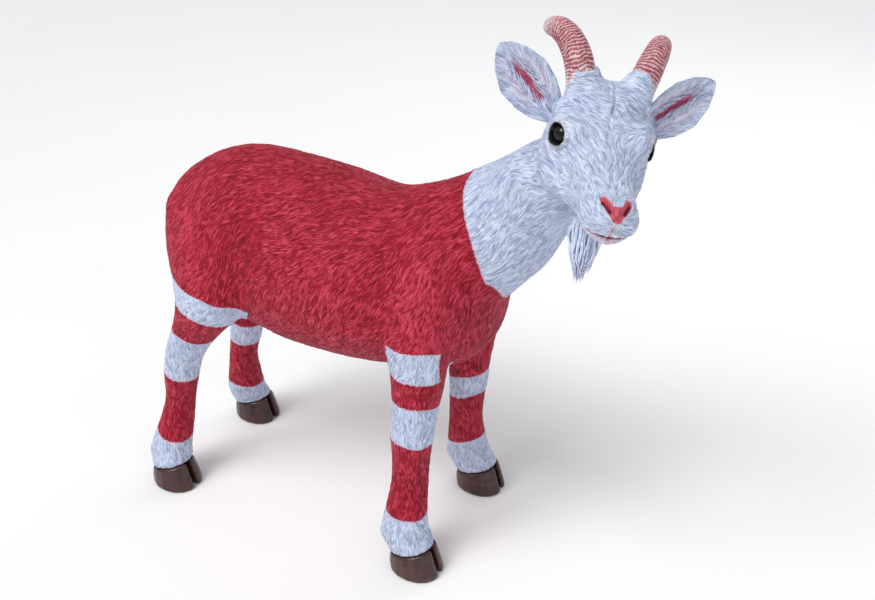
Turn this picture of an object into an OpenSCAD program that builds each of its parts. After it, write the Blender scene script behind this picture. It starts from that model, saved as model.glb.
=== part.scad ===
// Standing yule goat statue with a striped coat, cast as hollow shells and solid legs.
// The goat faces +X, its left side is +Y, and its hooves stand on Z = 0.

/* [Body] */
// Length of the torso from rump to chest
body_len = 440; // [366:1:530]
// Height of the withers above the ground
withers_h = 460; // [390:1:560]
// Depth of the torso from withers to belly
body_depth = 222; // [185:1:270]
// Width of the torso at the belly
body_w = 200; // [165:1:242]
// Thickness of the cast shells
wall = 5; // [4:0.5:7]
// Width of the glass tape that bonds the two body shells
tape_w = 30; // [20:1:40]
// Thickness of the glass tape and of the joint sleeves
tape_t = 2; // [1.5:0.5:3]

/* [Neck] */
// Length of the neck from its root to the head
neck_len = 175; // [145:1:210]
// Depth of the neck at its middle
neck_depth = 104; // [86:1:125]
// Width of the neck at its middle
neck_w = 90; // [75:1:108]

/* [Head] */
// Length of the head from poll to nose
head_len = 168; // [140:1:202]
// Width of the head between the cheeks
head_w = 94; // [78:1:113]
// Turn of the head towards the goat's right, in degrees
head_yaw = 59; // [35:1:70]
// Slope of the face below level, in degrees
head_pitch = 6; // [0:1:25]
// Lean of the head towards its left ear, in degrees
head_tilt = 11; // [0:1:22]
// Diameter of the glass eyes
eye_d = 24; // [20:0.5:29]
// Length of the ears
ear_len = 86; // [70:1:104]
// Width of the ears
ear_w = 54; // [45:1:65]
// Thickness of the ears
ear_t = 5; // [4:0.5:6]
// Length of each horn along its curve
horn_len = 92; // [76:1:112]
// Diameter of each horn at its base
horn_d = 29; // [24:0.5:35]
// Length of the beard
beard_len = 56; // [44:1:68]
// Width of the beard
beard_w = 30; // [24:1:36]

/* [Legs] */
// Distance between the front and the rear hooves
wheelbase = 366; // [300:1:440]
// Distance between the left and the right hooves
track = 180; // [150:1:215]
// Thickness of the front legs above the fetlock
front_leg_d = 44; // [37:1:53]
// Thickness of the rear legs above the fetlock
rear_leg_d = 39; // [34:1:47]
// Length of the hooves
hoof_len = 62; // [52:1:75]
// Width of the hooves
hoof_w = 54; // [46:1:65]
// Height of the hooves at their middle
hoof_h = 30; // [25:1:36]
// Width of the cleft between the two claws of a hoof
cleft_w = 4; // [3:0.5:6]

/* [Tail] */
// Length of the tail
tail_len = 62; // [50:1:75]
// Width of the tail
tail_w = 30; // [24:1:36]

/* [Fixings] */
// Diameter of the steel rod cast into each leg
rod_d = 8; // [6:0.5:10]
// Length of each leg rod that reaches into the body
rod_grip = 46; // [36:1:56]
// Diameter of the dowels that hold the horns
horn_pin_d = 8; // [6:0.5:10]
// Diameter of the dowels that hold the ears, beard and tail
small_pin_d = 4; // [3:0.5:5]
// Depth of each dowel in each of its two pieces
pin_grip = 15; // [12:1:18]
// Outer diameter of the threaded insert under each hoof
insert_d = 13; // [12:0.5:16]
// Thread diameter of the inserts
insert_bore_d = 8; // [6:1:10]
// Length of the inserts
insert_len = 16; // [13:1:19]
// Glue gap around each rod, dowel and eye
glue_gap = 0.15; // [0.1:0.05:0.3]

/* [Hidden] */

big = 1200;
left = 1;
right = -1;
front = 1;
rear = -1;
ring_n = 20;
leg_ring_n = 16;
small_ring_n = 16;
steps = 2;

belly_h = withers_h - body_depth;
leg_joint_h = belly_h + 6;

// ---------- curves and skins ----------

// One point of a Catmull-Rom curve through a list of stations.
function curve_at(p, i, t) =
    let (a = p[max(i - 1, 0)], b = p[i], c = p[i + 1], d = p[min(i + 2, len(p) - 1)])
    0.5 * (2 * b + (c - a) * t + (2 * a - 5 * b + 4 * c - d) * t * t
        + (3 * b - a - 3 * c + d) * t * t * t);

function curve(p, n) =
    [for (i = [0 : len(p) - 2], k = [0 : n - 1]) curve_at(p, i, k / n), p[len(p) - 1]];

// Signed power, which squares off an ellipse when e is under 1.
function bent(x, e) = sign(x) * pow(abs(x), e);

// One closed ring. A station is [x, y, z, yaw, pitch, half width, up, down, squareness].
function ring(s, n) =
    let (
        across = [-sin(s[3]), cos(s[3]), 0],
        up = [-cos(s[3]) * sin(s[4]), -sin(s[3]) * sin(s[4]), cos(s[4])]
    )
    [for (k = [0 : n - 1])
        let (a = 360 * k / n, c = bent(cos(a), s[8]), h = bent(sin(a), s[8]))
        [s[0], s[1], s[2]] + across * s[5] * c + up * (h > 0 ? s[6] : s[7]) * h];

// Closed solid through a list of rings that have the same number of points and turn
// anticlockwise about the way they follow one another.
module skin(rings) {
    n = len(rings[0]);
    m = len(rings);
    points = [for (r = rings) each r];
    sides = [for (i = [0 : m - 2], k = [0 : n - 1])
        let (a = i * n + k, b = i * n + (k + 1) % n)
        each [[a, b + n, b], [a, a + n, b + n]]];
    caps = [[for (k = [0 : n - 1]) k], [for (k = [n - 1 : -1 : 0]) (m - 1) * n + k]];
    polyhedron(points = points, faces = concat(sides, caps), convexity = 8);
}

// Rings a to b of a path of stations, made smaller by an inset on every side. The rings up
// to the one called level stand square to the middle plane.
function rings(stations, a, b, n, inset = 0, level = -1) =
    let (path = curve([for (p = stations)
        [p[0], p[1], p[2], p[3], p[4], max(p[5] - inset, 2), max(p[6] - inset, 2),
            max(p[7] - inset, 2), p[8]]], steps))
    [for (i = [a : b])
        let (p = path[i])
        ring(i > level ? p : [p[0], 0, p[2], 0, p[4], p[5], p[6], p[7], p[8]], n)];

function last_ring(stations) = (len(stations) - 1) * steps;

module loft(stations, n, inset = 0) {
    skin(rings(stations, 0, last_ring(stations), n, inset));
}

// The half of a ring that lies on the left, which is closed by a chord on the plane Y = 0.
function left_half(r) =
    let (n = len(r))
    [for (k = [3 * n / 4 : n - 1]) r[k], for (k = [0 : n / 4]) r[k]];

// Places its children with their Z axis on the line from p to q.
module along(p, q) {
    d = q - p;
    translate(p) rotate([0, acos(d[2] / norm(d)), atan2(d[1], d[0])]) children();
}

// Places its children at p with Z along a way, and with Y as near as possible to a facing.
module aim(p, way, facing) {
    z = unit(way);
    x = unit(cross(facing, z));
    y = cross(z, x);
    multmatrix([
        [x[0], y[0], z[0], p[0]],
        [x[1], y[1], z[1], p[1]],
        [x[2], y[2], z[2], p[2]]
    ]) children();
}

module bar(p, q, d) {
    along(p, q) rotate([0, 0, 10]) cylinder(h = norm(q - p), d = d, $fn = 32);
}

// Builds the left piece as it stands, and the right piece as its mirror image.
module on_side(side) {
    if (side == left) children();
    else mirror([0, 1, 0]) children();
}

// Free-form meshes are joined and cut together, so that each casting is one clean mesh.
module cast() {
    resize([0, 0, 0]) children();
}

// ---------- trunk and neck ----------

chest_x = 26 + body_len / 2;
rump_x = chest_x - body_len;

// [x of the top, height of the top, x of the bottom, height of the bottom, half width,
// squareness]. An x is a share of the length from the rump, a height is a share of the depth
// above the belly, and a half width is a share of half the width. The last one is the collar.
trunk_profile = [
    [0.000, 0.54, 0.000, 0.36, 0.20, 1.00],
    [0.022, 0.68, 0.022, 0.22, 0.47, 1.00],
    [0.075, 0.84, 0.075, 0.13, 0.70, 0.98],
    [0.160, 0.945, 0.160, 0.07, 0.84, 0.96],
    [0.255, 0.990, 0.255, 0.04, 0.92, 0.95],
    [0.400, 0.980, 0.400, -0.03, 0.985, 0.95],
    [0.540, 0.945, 0.545, -0.04, 1.00, 0.95],
    [0.650, 0.910, 0.668, -0.03, 0.97, 0.95],
    [0.713, 0.918, 0.782, 0.00, 0.92, 0.95],
    [0.780, 0.962, 0.873, 0.03, 0.87, 0.96],
    [0.832, 1.000, 0.941, 0.11, 0.80, 0.97],
    [0.868, 1.035, 0.985, 0.26, 0.72, 0.98],
    [0.900, 1.065, 1.004, 0.45, 0.63, 1.00]
];

// [x, y, z, yaw, pitch, half width, up, down] ahead of the collar. Places are shares of the
// neck's length, the half width of its width, and up and down of its depth.
neck_profile = [
    [0.130, -0.017, 0.172, -4, 40, 0.58, 0.57, 0.62],
    [0.263, -0.050, 0.338, -10, 49, 0.50, 0.455, 0.53],
    [0.395, -0.090, 0.486, -18, 50, 0.46, 0.385, 0.45],
    [0.525, -0.130, 0.610, -24, 48, 0.36, 0.31, 0.35],
    [0.590, -0.150, 0.670, -28, 46, 0.20, 0.18, 0.20]
];
neck_root = [chest_x - 17, 0, withers_h - 53];

spine = concat(
    [for (s = trunk_profile)
        let (
            top = [rump_x + s[0] * body_len, belly_h + s[1] * body_depth],
            bottom = [rump_x + s[2] * body_len, belly_h + s[3] * body_depth],
            half = norm(top - bottom) / 2
        )
        [(top[0] + bottom[0]) / 2, 0, (top[1] + bottom[1]) / 2, 0,
            atan2(bottom[0] - top[0], top[1] - bottom[1]), s[4] * body_w / 2, half, half, s[5]]],
    [for (s = neck_profile)
        [neck_root[0] + s[0] * neck_len, neck_root[1] + s[1] * neck_len,
            neck_root[2] + s[2] * neck_len, s[3], s[4],
            s[5] * neck_w, s[6] * neck_depth, s[7] * neck_depth, 1]]
);

// Rings of the spine where the body meets the neck and where the neck meets the head.
collar_ring = steps * (len(trunk_profile) - 1);
nape_ring = collar_ring + 2 * steps;
crown_ring = last_ring(spine);

// How far the inner end of the rump is drawn in, in shares of the inset, station by station.
rump_draw = [1.2, 0.9, 0.5, 0.2];

function spine_rings(a, b, inset) =
    rings([for (i = [0 : len(spine) - 1])
        let (p = spine[i], draw = i < len(rump_draw) ? rump_draw[i] * inset : 0)
        [p[0] + draw, p[1], p[2], p[3], p[4], p[5], p[6], p[7], p[8]]],
        a, b, ring_n, inset, collar_ring);

module spine_part(a, b, inset = 0) {
    skin(spine_rings(a, b, inset));
}

// Rings a to b of an inner face. At a joint the ring gives way to one just behind it and one
// just ahead, so that the shells and the sleeves on both sides of the joint share one face.
function blend(p, q, t) = [for (k = [0 : len(p) - 1]) p[k] + t * (q[k] - p[k])];
function inner_rings(a, b, inset) =
    let (r = spine_rings(a, b, inset))
    [for (i = [a : b])
        each (i != collar_ring && i != nape_ring) ? [r[i - a]]
            : (i == a || i == b) ? []
            : [blend(r[i - a - 1], r[i - a], 0.9), blend(r[i - a], r[i - a + 1], 0.1)]];

module hollow(a, b) {
    skin(inner_rings(a, b, wall));
}

// ---------- head ----------

head_seat = neck_root + [0.662, -0.184, 0.727] * neck_len;

// [share of length, height of the middle line, half width, up, down, squareness]; widths
// and heights are shares of the head's width.
head_profile = [
    [-0.250, 0.00, 0.12, 0.12, 0.12, 1.00],
    [-0.215, 0.02, 0.30, 0.26, 0.28, 1.00],
    [-0.107, 0.02, 0.455, 0.50, 0.42, 0.98],
    [0.012, 0.01, 0.50, 0.62, 0.485, 0.97],
    [0.149, 0.00, 0.505, 0.53, 0.49, 0.95],
    [0.286, -0.04, 0.395, 0.38, 0.42, 0.94],
    [0.428, -0.085, 0.31, 0.285, 0.35, 0.94],
    [0.565, -0.115, 0.28, 0.205, 0.285, 0.95],
    [0.667, -0.135, 0.255, 0.15, 0.24, 0.97],
    [0.726, -0.15, 0.205, 0.095, 0.165, 1.00],
    [0.750, -0.15, 0.09, 0.04, 0.07, 1.00]
];

// How far a station of the inner face is drawn in from the poll or the nose, in shares of
// the inset.
function head_draw(x) = x > 0.6 ? 8 * (x - 0.6) : x < -0.1 ? 8 * (x + 0.1) : 0;

function head_stations(inset) = [for (s = head_profile)
    [s[0] * head_len - head_draw(s[0]) * inset, 0, s[1] * head_w, 0, 0,
        s[2] * head_w, s[3] * head_w, s[4] * head_w, s[5]]];

// Moves children from the head's own frame, where the nose points along +X, into the statue.
module at_head() {
    translate(head_seat) rotate([0, 0, -head_yaw]) rotate([-head_tilt, 0, 0]) rotate([0, head_pitch, 0])
        children();
}

function eye_place(side) = [0.137 * head_len, side * 0.365 * head_w, 0.20 * head_w];
function ear_place(side) = [-0.072 * head_len, side * 0.38 * head_w, 0.165 * head_w];
function ear_way(side) = [-0.24, side * 0.74, 0.63];
function horn_place(side) = [0.015 * head_len, side * 0.235 * head_w, 0.40 * head_w];
function horn_way(side) = [-0.25, side * 0.22, 0.94];
function horn_bend(side) = [-0.93, side * 0.34, -0.12];
beard_place = [0.33 * head_len, 0, -0.37 * head_w];
beard_way = [0.08, 0, -1];

function unit(v) = v / norm(v);

// Seats where ears, horns and beard meet the head, measured out from their places.
ear_seat = 5;
horn_seat = 20;
beard_seat = 12;
ear_root_d = 17;
beard_root_d = 18;

function ear_base(side) = ear_place(side) + unit(ear_way(side)) * ear_seat;
function horn_base(side) = horn_place(side) + unit(horn_way(side)) * horn_seat;
beard_base = beard_place + unit(beard_way) * beard_seat;

module head_bosses() {
    for (side = [left, right]) {
        bar(ear_place(side), ear_base(side), ear_root_d);
        bar(horn_place(side), horn_base(side), horn_d);
    }
    bar(beard_place, beard_base, beard_root_d);
}

module head_bores() {
    for (side = [left, right]) {
        pin_bore(ear_base(side), ear_way(side), small_pin_d);
        pin_bore(horn_base(side), horn_way(side), horn_pin_d);
        translate(eye_place(side)) sphere(d = eye_d + 2 * glue_gap, $fn = 32);
    }
    pin_bore(beard_base, beard_way, small_pin_d);
}

module pin(p, way, d) {
    bar(p - unit(way) * pin_grip, p + unit(way) * pin_grip, d);
}

module pin_bore(p, way, d) {
    pin(p, way, d + 2 * glue_gap);
}

module head_solid(inset) {
    at_head() loft(head_stations(inset), ring_n, inset);
}

module head_shell() {
    color("ghostwhite") difference() {
        cast() union() {
            difference() {
                union() {
                    head_solid(0);
                    spine_part(nape_ring, crown_ring);
                }
                head_solid(wall);
                hollow(nape_ring - 1, crown_ring);
            }
            at_head() head_bosses();
        }
        at_head() head_bores();
    }
}

module neck_shell() {
    color("ghostwhite") cast() difference() {
        spine_part(collar_ring, nape_ring);
        hollow(collar_ring - 1, nape_ring + 1);
    }
}

// Ring of glass tape pressed against the inside of the neck, half on each side of a joint.
module sleeve(i) {
    inner = inner_rings(i - 1, i + 1, wall + tape_t);
    past = (inner[3] - inner[0]) * 0.1;
    color("tan") cast() difference() {
        hollow(i - 1, i + 1);
        skin([inner[0] - past, inner[1], inner[2], inner[3] + past]);
    }
}

module eye(side) {
    color("black") at_head() translate(eye_place(side)) sphere(d = eye_d, $fn = 32);
}

// ---------- ears, horns, beard and tail ----------

// [share of length, half width, cupping in degrees]
ear_profile = [
    [0.03, 0.20, 100],
    [0.15, 0.34, 118],
    [0.34, 0.46, 114],
    [0.58, 0.50, 100],
    [0.80, 0.37, 80],
    [0.94, 0.19, 60],
    [1.00, 0.07, 40]
];
function ear_back(side) = [-0.93, -side * 0.30, -0.20];

// A crescent ring: out along the back of the ear and back along its hollow face.
function ear_ring(s) =
    let (
        r = s[1] * ear_w / sin(s[2] / 2),
        n = small_ring_n / 2,
        q = r - ear_t,
        drop = r - ear_t / 2
    )
    [for (k = [n - 1 : -1 : 0])
        let (a = s[2] * (k / (n - 1) - 0.5))
        [r * sin(a), r * cos(a) - drop, s[0] * ear_len],
     for (k = [0 : n - 1])
        let (a = s[2] * (k / (n - 1) - 0.5) * 0.92)
        [q * sin(a), q * cos(a) - drop, s[0] * ear_len]];

module ear(side) {
    color("ghostwhite") at_head() on_side(side) difference() {
        cast() {
            aim(ear_base(left), ear_way(left), ear_back(left))
                skin([for (s = curve(ear_profile, steps)) ear_ring(s)]);
            bar(ear_base(left), ear_base(left) + unit(ear_way(left)) * (pin_grip + 2), ear_root_d);
        }
        pin_bore(ear_base(left), ear_way(left), small_pin_d);
    }
}

// [share of length, radius as a share of the root, turn of the curve in degrees]
horn_profile = [
    [0.00, 1.00],
    [0.25, 0.95],
    [0.50, 0.86],
    [0.72, 0.74],
    [0.88, 0.60],
    [0.97, 0.42],
    [1.00, 0.18]
];
horn_curl = 106;

module horn(side) {
    way = unit(horn_way(left));
    bend = unit(horn_bend(left) - way * (horn_bend(left) * way));
    across = cross(way, bend);
    r = horn_len / (horn_curl * PI / 180);
    path = [for (s = curve(horn_profile, steps))
        let (
            a = horn_curl * s[0],
            p = horn_base(left) + way * r * sin(a) + bend * r * (1 - cos(a)),
            u = way * sin(a) - bend * cos(a),
            q = s[1] * horn_d / 2
        )
        [for (k = [0 : leg_ring_n - 1])
            let (b = 360 * k / leg_ring_n)
            p + u * q * cos(b) - across * q * 0.94 * sin(b)]];
    color("rosybrown") at_head() on_side(side) difference() {
        skin(path);
        pin_bore(horn_base(left), horn_way(left), horn_pin_d);
    }
}

module beard() {
    stations = [
        [0, 0, 0, 0, -90, beard_root_d * 0.5, beard_root_d * 0.5, beard_root_d * 0.5, 1],
        [-0.02 * beard_len, 0, -0.28 * beard_len, 0, -90, beard_w * 0.5, beard_w * 0.47, beard_w * 0.5, 1],
        [0.02 * beard_len, 0, -0.62 * beard_len, 0, -78, beard_w * 0.44, beard_w * 0.38, beard_w * 0.42, 1],
        [0.22 * beard_len, 0, -0.90 * beard_len, 0, -58, beard_w * 0.24, beard_w * 0.16, beard_w * 0.18, 1],
        [0.32 * beard_len, 0, -0.98 * beard_len, 0, -50, beard_w * 0.08, beard_w * 0.06, beard_w * 0.06, 1]
    ];
    color("ghostwhite") at_head() difference() {
        aim(beard_base, -beard_way, [0, 1, 0]) loft(stations, small_ring_n);
        pin_bore(beard_base, beard_way, small_pin_d);
    }
}

tail_place = [rump_x + 0.040 * body_len, 0, belly_h + 0.60 * body_depth];
tail_way = [-0.8, 0, 0.6];
tail_seat = 7;
tail_root_d = 20;
tail_base = tail_place + unit(tail_way) * tail_seat;

// [x, z, pitch, half width, half thickness] in shares of the tail's length and width.
tail_profile = [
    [0.00, 0.00, 37, 0.33, 0.33],
    [-0.10, 0.02, 8, 0.40, 0.27],
    [-0.21, -0.13, -52, 0.46, 0.21],
    [-0.26, -0.42, -84, 0.50, 0.16],
    [-0.26, -0.72, -94, 0.38, 0.12],
    [-0.24, -0.94, -96, 0.14, 0.06]
];

module tail() {
    stations = [for (s = tail_profile)
        [s[0] * tail_len, 0, s[1] * tail_len, 180, s[2],
            s[3] * tail_w, s[4] * tail_w, s[4] * tail_w, 1]];
    color("crimson") difference() {
        translate(tail_base) loft(stations, small_ring_n);
        pin_bore(tail_base, tail_way, small_pin_d);
    }
}

// ---------- legs ----------

// [level, x from the hoof, y share, half length, half width]. Level runs from 0 at the
// ground to 1 at the leg joint, and on to 2 at the withers. y share is 0 over the hoof and
// 1 under the trunk. Lengths are shares of the leg's thickness.
front_leg_profile = [
    [1.62, -0.80, 1.30, 1.00, 0.30],
    [1.38, -0.48, 1.15, 1.00, 0.54],
    [1.18, -0.18, 1.00, 0.79, 0.64],
    [1.00, -0.16, 0.92, 0.69, 0.60],
    [0.82, -0.25, 0.84, 0.60, 0.53],
    [0.65, -0.31, 0.76, 0.53, 0.48],
    [0.47, -0.35, 0.64, 0.52, 0.48],
    [0.336, -0.38, 0.42, 0.57, 0.53],
    [0.22, -0.36, 0.14, 0.64, 0.58]
];
front_joint = 3;
rear_leg_profile = [
    [1.74, 1.90, 1.55, 1.40, 0.40],
    [1.45, 2.20, 1.30, 1.75, 0.78],
    [1.20, 2.05, 1.10, 1.32, 0.92],
    [1.00, 1.36, 1.08, 0.93, 0.80],
    [0.88, 0.84, 1.08, 0.76, 0.69],
    [0.765, 0.46, 1.08, 0.64, 0.60],
    [0.63, 0.27, 1.08, 0.55, 0.53],
    [0.49, 0.08, 1.00, 0.53, 0.51],
    [0.35, -0.08, 0.74, 0.61, 0.57],
    [0.22, -0.24, 0.42, 0.68, 0.64]
];
rear_joint = 3;

function leg_d(end) = end == front ? front_leg_d : rear_leg_d;
function leg_profile(end) = end == front ? front_leg_profile : rear_leg_profile;
function level(v) = v < 1 ? v * leg_joint_h : leg_joint_h + (v - 1) * (withers_h - leg_joint_h);
function hoof_place(end, side) = [end * wheelbase / 2, side * track / 2, 0];
under_trunk_y = 0.343 * body_w;

coronet_pitch = -74;
insert_back = 5;

// The ring where a leg meets its hoof, seen from the middle of the sole.
coronet = [-0.07 * hoof_len, 0, hoof_h, 0, coronet_pitch,
    0.46 * hoof_w, 0.47 * hoof_len, 0.47 * hoof_len, 0.95];

function moved(s, p) = [s[0] + p[0], s[1] + p[1], s[2] + p[2], s[3], s[4], s[5], s[6], s[7], s[8]];

// Stations of the left leg at one end, from inside the trunk down to the coronet.
function leg_stations(end) =
    let (d = leg_d(end), foot = hoof_place(end, left))
    concat([for (s = leg_profile(end))
        [foot[0] + s[1] * d, foot[1] + s[2] * (under_trunk_y - track / 2), level(s[0]),
            0, -90, s[4] * d, s[3] * d, s[3] * d, 0.97]],
        [moved(coronet, foot)]);

function joint_station(end) = end == front ? front_joint : rear_joint;

// The line of each left leg's rod, from just above the insert to its end in the body.
function rod_foot(end) =
    hoof_place(end, left) + [-0.13 * leg_d(end), -0.0225 * track, insert_len + 2];
function rod_joint(end) =
    let (s = leg_stations(end)[joint_station(end)], share = end == front ? 0 : -0.45)
    [s[0] + share * leg_d(end), s[1], leg_joint_h];
function rod_top(end) =
    let (a = rod_foot(end), b = rod_joint(end))
    b + unit(b - a) * rod_grip;

// Solid boss inside the body that takes the top of a rod.
module rod_boss(end) {
    b = rod_joint(end);
    c = rod_top(end);
    way = unit(c - b);
    bar(b + way * 4, c + way * wall, rod_d + 2 * wall + 4);
}

module rod(end, side) {
    color("silver") on_side(side) bar(rod_foot(end), rod_top(end), rod_d);
}

module rod_bore(end) {
    a = rod_foot(end);
    b = rod_top(end);
    reach = unit(b - a) * glue_gap;
    bar(a - reach, b + reach, rod_d + 2 * glue_gap);
}

module leg(end, side) {
    stations = leg_stations(end);
    color("crimson") on_side(side) difference() {
        skin(rings(stations, joint_station(end) * steps, last_ring(stations), leg_ring_n));
        rod_bore(end);
    }
}

// [height, x, pitch, half length, half width] below the coronet. The height is a share of the
// hoof's height, and the other lengths are shares of its length and width.
hoof_profile = [
    [0.52, -0.035, -84, 0.505, 0.50],
    [0.08, 0.01, -90, 0.53, 0.53],
    [0.00, 0.01, -90, 0.515, 0.515]
];

module hoof(end, side) {
    stations = concat([coronet], [for (s = hoof_profile)
        [s[1] * hoof_len, 0, s[0] * hoof_h, 0, s[2],
            s[4] * hoof_w, s[3] * hoof_len, s[3] * hoof_len, 0.92]]);
    color("saddlebrown") on_side(side) difference() {
        translate(hoof_place(end, left)) difference() {
            skin([for (s = stations) ring(s, leg_ring_n)]);
            translate([0.15 * hoof_len, -cleft_w / 2, -1]) cube([hoof_len, cleft_w, 3 * hoof_h]);
        }
        rod_bore(end);
        insert_bore(end);
    }
}

module insert_bore(end) {
    translate(hoof_place(end, left) - [insert_back, 0, 1])
        cylinder(h = insert_len + 1, d = insert_d + 2 * glue_gap, $fn = 48);
}

module insert(end, side) {
    color("goldenrod") on_side(side) translate(hoof_place(end, left) - [insert_back, 0, 0])
        difference() {
            cylinder(h = insert_len, d = insert_d, $fn = 48);
            translate([0, 0, -1]) cylinder(h = insert_len + 2, d = insert_bore_d, $fn = 48);
        }
}

// ---------- body ----------

module stump(end) {
    skin(rings(leg_stations(end), 0, joint_station(end) * steps, leg_ring_n));
}

module body_shell(side) {
    color("crimson") on_side(side) difference() {
        cast() union() {
            difference() {
                union() {
                    skin([for (r = spine_rings(0, collar_ring, 0)) left_half(r)]);
                    stump(front);
                    stump(rear);
                }
                hollow(0, collar_ring + 1);
            }
            rod_boss(front);
            rod_boss(rear);
            intersection() {
                bar(tail_place, tail_base, tail_root_d);
                translate([-big / 2, 0, 0]) cube(big);
            }
        }
        rod_bore(front);
        rod_bore(rear);
        pin_bore(tail_base, tail_way, small_pin_d);
    }
}

module body_seam_tape() {
    color("tan") difference() {
        cast() intersection() {
            difference() {
                hollow(0, collar_ring - 3);
                spine_part(0, collar_ring - 2, wall + tape_t);
            }
            translate([-big / 2, -tape_w / 2, 0]) cube([big, tape_w, big]);
        }
        pin_bore(tail_base, tail_way, small_pin_d);
    }
}

// ---------- dowels ----------

module horn_dowels() {
    color("silver") at_head() for (side = [left, right]) pin(horn_base(side), horn_way(side), horn_pin_d);
}

module ear_dowels() {
    color("silver") at_head() for (side = [left, right]) pin(ear_base(side), ear_way(side), small_pin_d);
}

module beard_dowel() {
    color("silver") at_head() pin(beard_base, beard_way, small_pin_d);
}

module tail_dowel() {
    color("silver") pin(tail_base, tail_way, small_pin_d);
}

// ---------- origin ----------

// A point of the head's own frame, turned as the head is turned.
function turned(p) =
    let (
        a = [p[0] * cos(head_pitch) + p[2] * sin(head_pitch), p[1],
            p[2] * cos(head_pitch) - p[0] * sin(head_pitch)],
        b = [a[0], a[1] * cos(head_tilt) + a[2] * sin(head_tilt),
            a[2] * cos(head_tilt) - a[1] * sin(head_tilt)]
    )
    [b[0] * cos(head_yaw) + b[1] * sin(head_yaw), b[1] * cos(head_yaw) - b[0] * sin(head_yaw), b[2]];

// The box of the statue runs from the rear hooves to the left ear, and from the nose to the
// left hooves. Its bottom centre is the origin.
ear_tip = head_seat + turned(ear_base(left) + unit(ear_way(left)) * ear_len);
nose_tip = head_seat + turned([0.75 * head_len, 0, -0.15 * head_w]);
box_x = [-wheelbase / 2 - 0.52 * hoof_len, ear_tip[0] + ear_t / 2];
box_y = [nose_tip[1] - 0.05 * head_w, track / 2 + 0.53 * hoof_w];

translate([-(box_x[0] + box_x[1]) / 2, -(box_y[0] + box_y[1]) / 2, 0]) {
    body_shell(left);  // body_shell_left
    body_shell(right);  // body_shell_right
    body_seam_tape();
    neck_shell();
    sleeve(collar_ring);  // neck_joint_sleeve
    sleeve(nape_ring);  // head_joint_sleeve
    head_shell();
    eye(left);  // eye_left
    eye(right);  // eye_right
    ear(left);  // ear_left
    ear(right);  // ear_right
    horn(left);  // horn_left
    horn(right);  // horn_right
    beard();
    tail();
    horn_dowels();
    ear_dowels();
    beard_dowel();
    tail_dowel();
    leg(front, left);  // leg_front_left
    leg(front, right);  // leg_front_right
    leg(rear, left);  // leg_rear_left
    leg(rear, right);  // leg_rear_right
    rod(front, left);  // rod_front_left
    rod(front, right);  // rod_front_right
    rod(rear, left);  // rod_rear_left
    rod(rear, right);  // rod_rear_right
    hoof(front, left);  // hoof_front_left
    hoof(front, right);  // hoof_front_right
    hoof(rear, left);  // hoof_rear_left
    hoof(rear, right);  // hoof_rear_right
    insert(front, left);  // insert_front_left
    insert(front, right);  // insert_front_right
    insert(rear, left);  // insert_rear_left
    insert(rear, right);  // insert_rear_right
}
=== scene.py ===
import math

import bmesh
import bpy
import numpy as np
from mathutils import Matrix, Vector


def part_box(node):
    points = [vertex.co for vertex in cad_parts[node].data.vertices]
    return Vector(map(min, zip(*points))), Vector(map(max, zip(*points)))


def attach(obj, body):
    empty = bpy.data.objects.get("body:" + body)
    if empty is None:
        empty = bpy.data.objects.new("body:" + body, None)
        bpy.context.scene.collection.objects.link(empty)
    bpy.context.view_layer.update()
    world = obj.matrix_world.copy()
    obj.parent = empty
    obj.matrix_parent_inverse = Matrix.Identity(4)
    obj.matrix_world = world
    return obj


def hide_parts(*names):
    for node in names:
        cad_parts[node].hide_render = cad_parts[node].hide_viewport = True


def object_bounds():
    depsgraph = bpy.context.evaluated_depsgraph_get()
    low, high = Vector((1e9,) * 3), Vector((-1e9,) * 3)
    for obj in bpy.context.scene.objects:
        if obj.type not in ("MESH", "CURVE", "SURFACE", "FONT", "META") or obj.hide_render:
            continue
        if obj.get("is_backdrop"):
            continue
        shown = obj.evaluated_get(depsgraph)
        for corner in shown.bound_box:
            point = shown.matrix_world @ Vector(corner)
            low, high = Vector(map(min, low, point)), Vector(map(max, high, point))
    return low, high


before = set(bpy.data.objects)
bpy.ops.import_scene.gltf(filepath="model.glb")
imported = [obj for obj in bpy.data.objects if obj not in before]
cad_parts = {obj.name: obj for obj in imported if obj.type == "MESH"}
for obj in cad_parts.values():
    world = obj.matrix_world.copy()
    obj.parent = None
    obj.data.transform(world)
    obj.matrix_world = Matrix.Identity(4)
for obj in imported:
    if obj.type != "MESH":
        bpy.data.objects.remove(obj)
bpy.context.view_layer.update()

import openvdb as vdb
from mathutils import Vector
from mathutils.geometry import tessellate_polygon

# Lengths in this file are millimetres in the goat's own frame, whose origin is on the ground
# midway between the four hooves. M turns them into the frame's metres.
M = 0.001
seam_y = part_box("body_shell_left")[0].y
joint_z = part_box("leg_front_left")[1].z / M
inserts = [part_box("insert_" + end) for end in ("front_left", "rear_left")]
middle_x = sum((lo.x + hi.x) / 2 for lo, hi in inserts) / 2
ORIGIN = np.array([middle_x / M + 5.0, seam_y / M, 0.0])

HEAD_SEAT = np.array([344.85, -32.2, 534.225])
YAW, TILT, PITCH = (math.radians(a) for a in (-59, -11, 6))
HEAD_LEN, HEAD_W = 168.0, 94.0


def turn(axis, a):
    c, s = math.cos(a), math.sin(a)
    return np.array({
        "x": [[1, 0, 0], [0, c, -s], [0, s, c]],
        "y": [[c, 0, s], [0, 1, 0], [-s, 0, c]],
        "z": [[c, -s, 0], [s, c, 0], [0, 0, 1]]}[axis], float)


HEAD = turn("z", YAW) @ turn("x", TILT) @ turn("y", PITCH)


def to_head(p):
    return (p - HEAD_SEAT) @ HEAD


def from_head(p):
    return np.asarray(p) @ HEAD.T + HEAD_SEAT


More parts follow.
